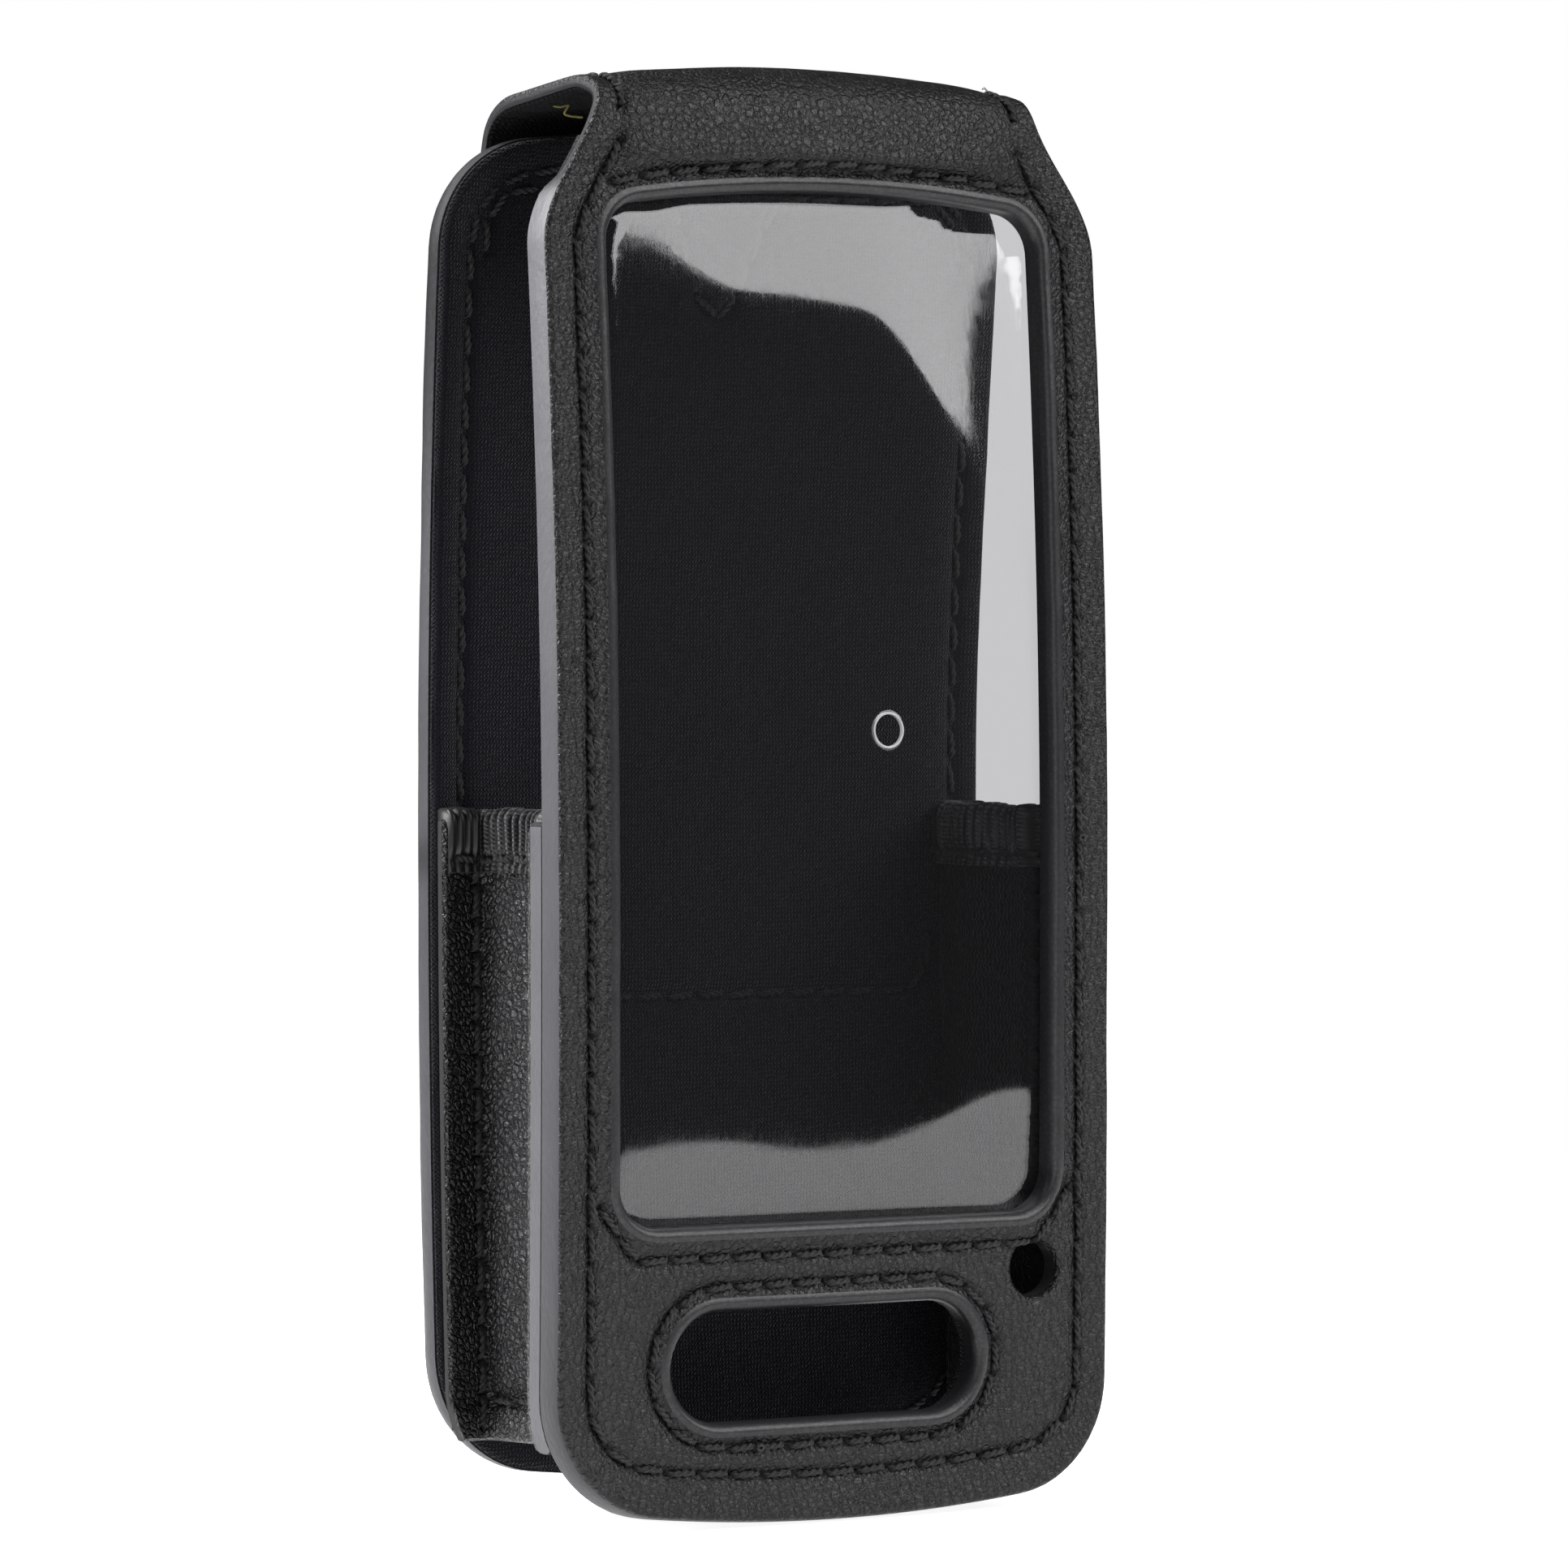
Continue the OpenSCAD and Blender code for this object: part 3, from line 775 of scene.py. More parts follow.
def painted_edge(name, tone, pale_tone, rough=0.42):
    """Smooth paint on a cut edge. The mesh's dim attribute darkens it: painted shade low on the front
    panel's edge, and darker edges on the flap, the tail and parts of the back panel.
    """
    m, nt = begin(name)
    c = flat_coords(nt, (1, 0.5, 1))
    streaks = noise_of(nt, c, 2.2, 4, 0.6)
    blotch = noise_of(nt, c, 0.25, 2)
    normal = bump(nt, streaks, 0.09)
    t = mul_add(nt, streaks, 0.4, mul(nt, blotch, 0.6))
    dim = mesh_value(nt, "dim")
    shade = between(nt, mul(nt, dim, 0.92), between(nt, t, tone, pale_tone), (0.02, 0.02, 0.022))
    gloss = mul_add(nt, dim, -0.36, 0.5)
    return close(m, nt, shade, rough, normal, gloss)


def knit(name, tone, pale_tone, wale=0.38, course=0.44, depth=0.11, along_x=True, sheen=0.25):
    """A warp knit: rows of little loops standing in ribs."""
    m, nt = begin(name)
    c = flat_coords(nt)
    drift = noise_of(nt, c, 0.5, 2)
    split = add(nt, "SeparateXYZ", {0: c})
    a, b = (split.outputs[0], split.outputs[1]) if along_x else (split.outputs[1], split.outputs[0])
    a = mul_add(nt, drift, 0.5, a)
    b = mul_add(nt, noise_of(nt, c, 1.1, 2), 0.7, b)
    rib = maths(nt, "ABSOLUTE", maths(nt, "SINE", mul(nt, a, math.pi / wale)))
    lean = mul(nt, rib, 3.0)
    loop = maths(nt, "SINE", maths(nt, "ADD", mul(nt, b, 2 * math.pi / course), lean))
    height = maths(nt, "ADD", mul(nt, rib, 0.45), mul(nt, loop, 0.6))
    fuzz = noise_of(nt, c, 7, 3, 0.7)
    height = maths(nt, "ADD", height, mul(nt, fuzz, 0.5))
    normal = bump(nt, height, depth)
    t = mul_add(nt, rib, 0.3, mul(nt, fuzz, 0.6))
    return close(m, nt, between(nt, t, tone, pale_tone), 0.85, normal, 0.2, sheen, 0.4)


def woven(name, tone, pale_tone, pitch=0.5, depth=0.06, rough=0.6, sheen=0.3):
    m, nt = begin(name)
    c = flat_coords(nt)
    split = add(nt, "SeparateXYZ", {0: c})
    warp = maths(nt, "SINE", mul(nt, split.outputs[0], 2 * math.pi / pitch))
    weft = maths(nt, "SINE", mul(nt, split.outputs[1], 2 * math.pi / (pitch * 0.8)))
    fuzz = noise_of(nt, c, 6, 3, 0.6)
    height = maths(nt, "ADD", mul(nt, warp, weft), fuzz)
    normal = bump(nt, height, depth)
    return close(m, nt, between(nt, fuzz, tone, pale_tone), rough, normal, 0.35, sheen, 0.35)


def grosgrain(name, tone, pale_tone, bead=0.44):
    """Ribbed ribbon. The mesh's rib attribute is 1 on its ribs, which beads of weft cross."""
    m, nt = begin(name)
    c = flat_coords(nt)
    split = add(nt, "SeparateXYZ", {0: c})
    rib = mesh_value(nt, "rib")
    shift = mul(nt, noise_of(nt, c, 1.2, 2), 7.0)
    weft = maths(nt, "SINE", mul_add(nt, split.outputs[1], 2 * math.pi / bead, shift))
    beads = mul_add(nt, weft, 0.5, 0.5)
    top = mul(nt, maths(nt, "POWER", rib, 3.0), mul_add(nt, beads, 0.85, 0.15))
    normal = bump(nt, top, 0.2)
    # Painted highlight: the rib and bead tops are coloured far paler than the hollows between them.
    return close(m, nt, between(nt, top, tone, pale_tone), 0.38, normal, 0.5, 0.1)


def pile(name, tone, pale_tone, scale=3.2, depth=0.5):
    """Hook or loop tape: a dense field of little hooks or curls."""
    m, nt = begin(name)
    c = flat_coords(nt)
    tufts = cells_of(nt, c, scale, 0.3)
    fuzz = noise_of(nt, c, 9, 4, 0.75)
    height = maths(nt, "ADD", mul(nt, tufts, -1.0), fuzz)
    normal = bump(nt, height, depth)
    return close(m, nt, between(nt, fuzz, tone, pale_tone), 0.9, normal, 0.25, 0.4)


def yarn(name, tone, pale_tone, rough=0.45):
    m, nt = begin(name)
    fibres = noise_of(nt, flat_coords(nt, (1.2, 5, 1)), 2.5, 3, 0.6)
    normal = bump(nt, fibres, 0.07)
    return close(m, nt, between(nt, fibres, tone, pale_tone), rough, normal, 0.5, 0.15)


def board(name, tone, pale_tone):
    m, nt = begin(name)
    pulp = noise_of(nt, flat_coords(nt), 2.5, 5, 0.7)
    return close(m, nt, between(nt, pulp, tone, pale_tone), 0.9, bump(nt, pulp, 0.12), 0.2)


FILM_IOR = 1.6


def clear_film(name, through, haze=0.004):
    """Thin clear vinyl: tinted see-through with a mirror-like skin, faintly scratched and cloudy."""
    m, nt = begin(name)
    ripple = noise_of(nt, flat_coords(nt), 0.12, 2, 0.4)
    scuff = noise_of(nt, flat_coords(nt, (1, 0.15, 1)), 3, 4, 0.7)
    normal = bump(nt, ripple, 0.03)
    clear = add(nt, "BsdfTransparent", {"Color": (*through, 1)})
    rough = map_range(nt, scuff, (0.35, 0.015), (0.75, 0.09))
    gloss = add(nt, "BsdfAnisotropic", {"Color": (1, 1, 1, 1), "Roughness": rough, "Normal": normal})
    dust = add(nt, "BsdfDiffuse", {"Color": (0.6, 0.6, 0.62, 1), "Normal": normal})
    from_inside = add(nt, "NewGeometry").outputs["Backfacing"]
    ior = mul_add(nt, from_inside, 1 / FILM_IOR - FILM_IOR, FILM_IOR)
    share = add(nt, "Fresnel", {"IOR": ior, "Normal": normal})
    cloudy = add(nt, "MixShader", {0: haze, 1: clear.outputs[0], 2: dust.outputs[0]})
    skin = add(nt, "MixShader", {0: share.outputs[0], 1: cloudy.outputs[0], 2: gloss.outputs[0]})
    out = add(nt, "OutputMaterial")
    nt.links.new(skin.outputs[0], out.inputs[0])
    return m


LEATHER = leather("black leather", (0.003, 0.003, 0.0035), (0.0150, 0.0150, 0.0163))
# Painted highlight: this leather's pale tone is far paler than the black leather's, so its pebble tops and
# patches carry the gusset web's shine in their colour.
SOFT_LEATHER = leather(
    "soft black leather", (0.004, 0.004, 0.005), (0.075, 0.075, 0.080), 0.7, 0.22, (0.24, 0.34), 0.22, 1.0
)
RIM = leather(
    "rolled rim leather", (0.026, 0.026, 0.028), (0.034, 0.034, 0.037), 0.6, 0.008, (0.3, 0.38), 0.02, 0.5
)
EDGE = painted_edge("grey edge paint", (0.125, 0.125, 0.14), (0.22, 0.22, 0.24))
BACK_EDGE = painted_edge("darker grey edge paint", (0.06, 0.06, 0.067), (0.125, 0.125, 0.14))
DARK_EDGE = painted_edge("black edge paint", (0.003, 0.003, 0.0035), (0.009, 0.009, 0.010), 0.6)
FLESH = woven("leather's flesh side", (0.02, 0.02, 0.022), (0.04, 0.04, 0.043), 0.9, 0.08, 0.9, 0.1)
KNIT = knit("black knit", (0.0028, 0.003, 0.0055), (0.013, 0.014, 0.021))
ELASTIC = knit("ribbed elastic", (0.003, 0.003, 0.005), (0.012, 0.012, 0.016), 0.95, 0.45, 0.2, False, 0.1)
# Painted shade: the flap lining's black knit is coloured darker still, for the shade under the flap.
WEB_LINING = knit("ribbed lining", (0.002, 0.002, 0.003), (0.008, 0.008, 0.010), 0.9, 0.6, 0.22, False, 0.03)
RIBBON = grosgrain("grosgrain ribbon", (0.0015, 0.0015, 0.002), (0.17, 0.17, 0.18))
THREAD = yarn("black thread", (0.004, 0.004, 0.0045), (0.017, 0.017, 0.0185), 0.34)
STRAY = yarn("yellow thread", (0.62, 0.50, 0.10), (0.90, 0.82, 0.34), 0.7)
PALE = yarn("pale thread end", (0.45, 0.45, 0.46), (0.75, 0.75, 0.76), 0.7)
LOOPS = pile("loop pile", (0.006, 0.006, 0.007), (0.022, 0.022, 0.025))
HOOKS = pile("hook pile", (0.007, 0.007, 0.008), (0.03, 0.03, 0.034), 1.6, 0.6)
BOARD = board("stiffening board", (0.07, 0.07, 0.075), (0.13, 0.13, 0.14))
FILM = clear_film("clear vinyl", (0.80, 0.80, 0.81))
CUT_FILM = painted_edge("cut vinyl edge", (0.55, 0.56, 0.58), (0.80, 0.81, 0.83), 0.25)

# ---- seams

EDGE_INSET = 3.6
FLAP_INSET = 2.6
FOOT_SEAM_RISE = 1.1
FINE_PITCH = 3.6


def along(right, keep):
    """Both sides of an outline as one open path over the part where keep holds, foot in the middle."""
    right = np.asarray(right)[keep(np.asarray(right))]
    return np.vstack([right[::-1], right[1:] * [-1, 1]]) if right[0, 0] < 0.01 else right[::-1]


SEAM_EDGE = along(hide_right(EDGE_INSET, FOLD_Z), lambda p: p[:, 1] < FOLD_Z - 1.2)
SEAM_EDGE[:, 1] += FOOT_SEAM_RISE * smooth((12 - SEAM_EDGE[:, 1]) / 10)
SEAM_FLAP = hide_right(FLAP_INSET, SPLIT_S - 1.5)
SEAM_FLAP = SEAM_FLAP[SEAM_FLAP[:, 1] > FOLD_Z + 1.5]
HEAD_X = np.linspace(-FLAP_HALF + 0.8, FLAP_HALF - 0.8, 40)
SEAM_HEAD = np.c_[HEAD_X, WINDOW_Z1 + WINDOW_RISE + 2.6 - 2.3 * (HEAD_X / FLAP_HALF) ** 2]
SILL_Z = WINDOW_Z0 - 3.4
SILL_X = WINDOW_HALF + 1.1
SILL_RIGHT = np.array([[SILL_X - 2.6, SILL_Z + 0.2], [SILL_X + 1.2, SILL_Z + 5.6]])
SEAM_SILL = np.vstack([SILL_RIGHT[::-1] * [-1, 1], SILL_RIGHT])
SEAM_SLOT = slot_loop(2.5)

HOLES_EDGE = resample(SEAM_EDGE, STITCH_PITCH)
HOLES_HEAD = resample(SEAM_HEAD, FINE_PITCH)
HOLES_SILL = resample(SEAM_SILL, FINE_PITCH)
HOLES_SLOT = resample(SEAM_SLOT, 3.5, True)
HOLES_FLAP = resample(SEAM_FLAP, FINE_PITCH)
SLOT_RING = np.vstack([SEAM_SLOT, SEAM_SLOT[:1]])
HIDE_SEAMS = [SEAM_EDGE, SEAM_HEAD, SEAM_SILL, SLOT_RING, SEAM_FLAP, SEAM_FLAP * [-1, 1]]
HIDE_HOLES = [HOLES_EDGE, HOLES_HEAD, HOLES_SILL, HOLES_SLOT, HOLES_FLAP, HOLES_FLAP * [-1, 1]]

# ---- the hide: front panel, fold and flap

TAIL_CORNER = 7.0


def tail_corner(inset):
    return arc(FLAP_HALF - TAIL_CORNER, TAIL_S - TAIL_CORNER, TAIL_CORNER - inset, 0, 90)


FULL_HIDE = both_sides(np.vstack([hide_right(0, TAIL_S - TAIL_CORNER), tail_corner(0)]))
HEAD_PUFF = 1.9
HEAD_PUFF_S = 133.6
HEAD_PUFF_END = 147
FOOT_PUFF = 0.18


def hide_puff(p):
    """The hide's own unevenness and padding, as depth (negative stands proud)."""
    across = np.clip(1 - (p[:, 0] / 26) ** 2, 0, 1)
    head = smooth((p[:, 1] - HEAD_PUFF_S) / 1.2) * np.clip((HEAD_PUFF_END - p[:, 1]) / 12.2, 0, 1)
    border = smooth((14 - p[:, 1]) / 6)
    return (
        -HEAD_PUFF * head * across
        - FOOT_PUFF * border
        + waviness(p, 0.045, 0.16)
        + waviness(p, 0.16, 0.07, 3)
        + waviness(p, 0.45, 0.025, 5)
    )


def hide_depths(p, seams, holes):
    """Each point's distance to the hide's edge and the depth of its outer face."""
    d_edge = distance_to(p, FULL_HIDE, True)
    return d_edge, hide_puff(p) + cut_edge(d_edge) + sewn(p, seams, holes)


# the band along an edge where the hide's wall reaches deeper than its own thickness
EDGE_BAND = 0.6
HOLE_BAND = 0.55
FLAP_EDGE_S = 131.2
FLAP_EDGE_T = 1.22
EDGE_SHADE_S = 112


def build_hide():
    outline = both_sides(hide_right(0, SPLIT_S))
    region = Region(outline, [window_loop(), slot_loop(), circle_loop(*MIC)], HIDE_SEAMS, step=1.15)
    p = region.p
    d_edge, out = hide_depths(p, HIDE_SEAMS, HIDE_HOLES)
    d_win, d_slot, d_mic = region.d_hole
    out += lip(d_win) + lip(d_slot) + round_edge(d_mic, 0.7) - 0.1 * bump_at(d_mic - 0.9, 0.5)
    on_flap = smooth((p[:, 1] - FLAP_EDGE_S) / 2.4)
    rim_depth = (FRONT_T - 0.1) * (1 - on_flap) + FLAP_EDGE_T * on_flap
    inner = np.where(d_edge < EDGE_BAND, rim_depth, LEATHER_T)
    inner = np.where(np.min(region.d_hole, axis=0) < HOLE_BAND, FILM_N - 0.05, inner)
    # Painted shade: the front panel's edge paint darkens towards the bottom, where less light reaches it.
    painted_low_shade = 0.72 * np.clip(1 - p[:, 1] / EDGE_SHADE_S, 0, 1)
    paint = {
        "painted_shade": painted_seam_shade(p, HIDE_HOLES, HIDE_SEAMS),
        "dim": np.maximum(smooth((p[:, 1] - 130.6) / 1.8), painted_low_shade),
        "fine": np.ones(len(p)),
    }
    mats = [LEATHER, FLESH, EDGE, RIM]
    return sheet("hide", region, wrap_hide, out, np.maximum(inner, out + MIN_T), mats, 3, 0.1, paint)


def rim_material(obj, reach=1.45):
    """Gives the rolled lip round each opening its smoother finish."""
    mesh = obj.data
    flat = np.zeros(len(mesh.vertices) * 3, np.float32)
    mesh.attributes["flat"].data.foreach_get("vector", flat)
    flat = flat.reshape(-1, 3)
    near = np.minimum(*[distance_to(flat[:, :2], loop, True) for loop in (window_loop(), slot_loop())])
    for poly in mesh.polygons:
        if poly.material_index == 0 and all(near[v] < reach for v in poly.vertices):
            poly.material_index = 3


def fold_blend(obj):
    """Bakes a piece's placement into its mesh."""
    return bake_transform(obj)


def tail_blend(obj):
    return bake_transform(obj)


def gusset_blend(obj):
    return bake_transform(obj)


def finish_piece(obj, nodes, rider):
    """Hands a piece to the frame. rider is a body's name or a function that bakes the piece's placement."""
    if callable(rider):
        rider(obj)
    else:
        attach(obj, rider)
    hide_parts(*nodes)


hide = build_hide()
rim_material(hide)
finish_piece(hide, ["front_leather", "flap_leather"], fold_blend)


def on_hide(p):
    return hide_puff(p) + THREAD_SINK


FRONT_ROWS = [
    ("front_edge_stitching", HOLES_EDGE, False, "front_edge_thread"),
    ("window_head_stitching", HOLES_HEAD, False, "window_head_thread"),
    ("window_sill_stitching", HOLES_SILL, False, "window_sill_thread"),
    ("slot_stitching", HOLES_SLOT, True, "slot_thread"),
]
for name, holes, closed, node in FRONT_ROWS:
    row = thread(name, [(holes, wrap_hide, on_hide, -1, closed)], THREAD)
    finish_piece(row, [node], "front_shell")
flap_runs = [(HOLES_FLAP * [s, 1], wrap_hide, on_hide, -1, False) for s in (1, -1)]
flap_stitches = thread("flap_edge_stitching", flap_runs, THREAD)
finish_piece(flap_stitches, ["flap_thread"], fold_blend)

# ---- front panel's inner layers

BOARD_N = LEATHER_T + 0.06
KNIT_N = FILM_N + 0.06


def build_front_board():
    outline = both_sides(hide_right(0.85, FOLD_Z - 0.6))
    holes = [window_loop(0.7), slot_loop(0.7), circle_loop(*MIC[:2], MIC[2] + 1.4)]
    region = Region(outline, holes, step=3.0, edge_step=1.5, rims=())
    outer, inner = np.full(len(region.p), BOARD_N + 0.9), np.full(len(region.p), FILM_N - 0.03)
    return sheet("front_board", region, wrap_hide, outer, inner, [BOARD], 1)


def knit_relief(p, paths):
    pull = np.zeros(len(p))
    for path in paths:
        d = distance_to(p, path)
        pull += 0.45 * bump_at(d, 0.6) + 0.25 * bump_at(d, 1.8)
    return pull


def build_front_knit():
    outline = both_sides(hide_right(0.7, FOLD_Z - 0.4))
    holes = [window_loop(1.7), slot_loop(0.5), circle_loop(*MIC[:2], MIC[2] + 1.8)]
    seams = [SEAM_EDGE, SEAM_SILL]
    region = Region(outline, holes, seams, step=2.0, edge_step=0.9, rims=(0.3, 0.8))
    over_film = smooth((2.2 - region.d_hole[0]) / 0.4)
    outer = KNIT_N + (FILM_T + 0.06) * over_film
    rim = round_edge(np.minimum(region.d_out, region.d_hole[0]), 0.4)
    inner = FRONT_T + 0.12 - knit_relief(region.p, seams) * 0.6 - rim
    return sheet("front_lining", region, wrap_hide, outer, np.maximum(inner, outer + 0.25), [KNIT], 1)


FILM_HOLE = (6.5, 78.2, 1.6)
FILM_RING = 0.22
FILM_BULGE = 0.95
FILM_SINK = 0.8
FILM_HEAD_L = 24.0
FILM_HEAD_RIGHT_L = 17.0
FILM_FOOT_L = 22.0


def film_head(x):
    """Height at which the film starts to curl back towards its head, falling away at the right."""
    left = 13.0 * (np.clip(-9 - x, 0, 20) / 14) ** 2
    right = 0.5 * (x - 7 + np.sqrt((x - 7) ** 2 + 6))
    return WINDOW_Z1 - 7.6 - 0.12 * x + left - 1.65 * right


def film_foot(x):
    ripple = 0.8 * np.cos(2 * math.pi * (x + 14.2) / 25) * (1 - smooth((x - 8) / 8))
    return WINDOW_Z0 + 4.6 + ripple + 7.0 * smooth((x - 5) / 17)


def film_fall(past, length):
    """1 on the film's flat middle, falling away ever more gently over its curled end."""
    soft = 0.5 * (past + np.sqrt(past**2 + 9.0))
    return (1 + FILM_SINK) * np.exp(-soft / length) - FILM_SINK


def build_film():
    outline = window_loop(3.0)
    rims = (0.12, FILM_RING, 0.42, 0.7, 1.1)
    region = Region(outline, [circle_loop(*FILM_HOLE)], step=1.3, edge_step=1.0, rims=rims)
    p = region.p
    edge = np.where(inside(p, window_loop()), distance_to(p, window_loop(), True), 0)
    head_l = FILM_HEAD_L + (FILM_HEAD_RIGHT_L - FILM_HEAD_L) * smooth((p[:, 0] - 6) / 12)
    head = film_fall(p[:, 1] - film_head(p[:, 0]), head_l)
    ends = np.minimum(head, film_fall(film_foot(p[:, 0]) - p[:, 1], FILM_FOOT_L))
    proud = FILM_BULGE * ends * smooth(edge / 0.5)
    bead = 0.1 * bump_at(region.d_hole[0] - 0.12, 0.14)
    mid = FILM_N + FILM_T / 2 + 0.05 - proud
    half = FILM_T / 2 * 0.9
    mats = [FILM, FILM, FILM, CUT_FILM]
    obj = sheet("window_film", region, wrap_hide, mid - half - bead, mid + half, mats, 1)
    mesh = obj.data
    flat = mesh.attributes["flat"].data
    x, z, r = FILM_HOLE
    for poly in mesh.polygons:
        if all(math.dist(flat[v].vector[:2], (x, z)) < r + FILM_RING + 0.02 for v in poly.vertices):
            poly.material_index = 3
    return obj


finish_piece(build_front_board(), ["front_stiffener"], "front_shell")
finish_piece(build_front_knit(), ["front_lining"], "front_shell")
finish_piece(build_film(), ["window_film"], "front_shell")

# ---- flap lining, tail and hook tape


LINING_FACE = 1.95


def build_flap_lining():
    start = BEND_S + 2.5
    edge = hide_right(0.3, SPLIT_S)
    right = edge[edge[:, 1] >= start]
    region = Region(both_sides(np.vstack([[[right[0, 0], start]], right])), step=1.6, edge_step=0.9, rims=())
    p = region.p
    d = np.minimum(distance_to(p, edge), distance_to(p, edge * [-1, 1]))
    outer = np.full(len(p), LEATHER_T + 0.06)
    inner = LINING_FACE + waviness(p, 0.3, 0.08) - round_edge(d, 0.5)
    return sheet("flap_lining", region, wrap_hide, outer, np.maximum(inner, outer + 0.2), [WEB_LINING], 1)


finish_piece(build_flap_lining(), ["flap_lining"], fold_blend)

TAIL_RIGHT = np.vstack([[[FLAP_HALF, SPLIT_S]], tail_corner(0)])
SEAM_TAIL = both_sides(np.vstack([[[FLAP_HALF - FLAP_INSET, SPLIT_S + 0.4]], tail_corner(FLAP_INSET)]))
HOLES_TAIL = resample(SEAM_TAIL, FINE_PITCH)


TAIL_EDGE_T = 1.6


def build_tail():
    region = Region(both_sides(TAIL_RIGHT), seams=[SEAM_TAIL], step=1.2)
    p = region.p
    d_edge, out = hide_depths(p, [SEAM_TAIL], [HOLES_TAIL])
    inner = np.maximum(np.where(d_edge < EDGE_BAND, TAIL_EDGE_T, LEATHER_T), out + MIN_T)
    paint = {"painted_shade": painted_seam_shade(p, [HOLES_TAIL], [SEAM_TAIL]), "dim": np.ones(len(p))}
    return sheet("flap_tail_leather", region, wrap_hide, out, inner, [LEATHER, FLESH, EDGE], 3, 0.1, paint)


finish_piece(build_tail(), ["tail_leather"], tail_blend)
tail_stitches = thread("flap_tail_stitching", [(HOLES_TAIL, wrap_hide, on_hide, -1, False)], THREAD)
finish_piece(tail_stitches, ["tail_thread"], tail_blend)


def tape_region(half, s0, s1, r=1.2):
    return Region(round_rect(half, s0, s1, r, 4), step=0.9, edge_step=0.7, rims=(0.25, 0.6, 1.2, 2.0))


def tape_depths(region, face, thick, up):
    """A tape: a flat selvedge with the pile standing up inside it."""
    p = region.p
    body = thick * (0.45 + 0.55 * smooth((region.d_out - 2.0) / 0.6))
    tuft = waviness(p, 2.4, 0.16, 9)
    top = face + up * (body + tuft * smooth((region.d_out - 2.2) / 0.6))
    return np.full(len(p), face), top


HOOK_HALF = high("hook_tape")[0]
hook_start = length_at_rear(high("hook_tape")[2] - 0.4)
hook_region = tape_region(HOOK_HALF, hook_start, length_at_rear(low("hook_tape")[2]))
hook_low, hook_top = tape_depths(hook_region, LEATHER_T + 0.04, TAPE_T - 0.05, 1)
hook = sheet("hook_tape", hook_region, wrap_hide, hook_low, hook_top, [HOOKS], 1)
finish_piece(hook, ["hook_tape"], tail_blend)

# ---- loose thread ends


def cord(name, pts, r, mat, body):
    """One loose length of thread."""
    pts = np.asarray(pts, float)
    run = run_along(pts)[1]
    even = np.linspace(0, run[-1], 30)
    pts = np.column_stack([np.interp(even, run, pts[:, k]) for k in range(3)])
    for _ in range(2):
        pts[1:-1] = (pts[:-2] + 2 * pts[1:-1] + pts[2:]) / 4
    along_it = np.gradient(pts, axis=0)
    along_it /= np.linalg.norm(along_it, axis=1, keepdims=True)
    side = np.cross(along_it, [0.2, 1, 0.1])
    side /= np.linalg.norm(side, axis=1, keepdims=True)
    other = np.cross(side, along_it)
    around = np.linspace(0, 2 * math.pi, 6, endpoint=False)
    rings = [pts + r * (math.cos(a) * side + math.sin(a) * other) for a in around]
    flat = {"flat": np.tile(np.c_[even, even, even], (6, 1))}
    obj = grid_solid(name, np.array(rings), [mat], flat)
    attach(obj, body)


ZIGZAG = [[0, 0, 0.4], [0.8, 0, 0.25], [1.9, 0, 0.6], [1.2, 0, -0.4], [2.0, 0, -0.6], [3.4, 0, -0.65]]
FLECK = [[0, 0, 0], [0.35, -0.1, 0.3], [0.75, 0, 0.1]]
CUT_END = [[0, 0, 0], [-0.7, -0.4, 0.3], [-1.2, -0.9, 0.1]]
# name, place on the hide and depth, course, radius, material and body
LOOSE_ENDS = [
    ("stray_thread_under_flap", (-22.7, BEND_S + 17.0), 2.3, ZIGZAG, 0.11, STRAY, "flap_top"),
    ("stray_thread_on_seam", (4.4, 134.3), -0.45, FLECK, 0.1, STRAY, "front_shell"),
    ("thread_end_on_flap", (FLAP_HALF - 3.2, BEND_S + 6.2), -0.3, CUT_END, 0.1, PALE, "flap_top"),
]
for name, place, depth, course, r, mat, body in LOOSE_ENDS:
    cord(name, wrap_hide(np.array([place]), depth)[0] + course, r, mat, body)


def knot(name, holes, near, body):
    """A small knot where a row of stitches was started off, at the needle hole nearest a place."""
    hole = holes[np.argmin(((holes - near) ** 2).sum(1))]
    middle = wrap_hide(hole[None], -0.05)[0]
    turn = np.linspace(0, 5 * math.pi, 40)
    coil = np.c_[0.42 * np.cos(turn), -0.12 - 0.016 * turn, 0.3 * np.sin(turn) + 0.05 * np.cos(2 * turn)]
    cord(name, middle + coil, 0.2, THREAD, body)


knot("thread_knot_on_slot_seam", HOLES_SLOT, [SLOT_X - 9.5, SLOT_Z - 8.1], "front_shell")
knot("thread_knot_on_edge_seam", HOLES_EDGE, [HALF_W - EDGE_INSET, 69.0], "front_shell")

# ---- back panel

BACK_OUT = both_sides(back_right(0))
SEAM_BACK = both_sides(back_right(3.4))
HOLES_BACK = resample(SEAM_BACK, STITCH_PITCH, True)
LOOP_HALF = high("belt_loop")[0]
LOOP_Z0 = low("belt_loop")[2]
LOOP_Z1 = high("belt_loop")[2]
LOOP_LIFT = high("belt_loop")[1] - BACK_Y - LOOP_T
DIP_Z = 119.5
U_LEFT = np.vstack(
    [
        [[-LOOP_HALF - 0.4, DIP_Z + 6]],
        arc(-LOOP_HALF + 3.4, LOOP_Z1 - 4.6, 3.6, 180, 90),
        [[-9.0, LOOP_Z1 - 1.2]],
        arc(-7.2, LOOP_Z1 - 3.0, 1.8, 90, 30),
    ]
)
U_DIP = [[-2.2, DIP_Z + 1.0], [-0.5, DIP_Z], [1.4, DIP_Z + 1.0]]
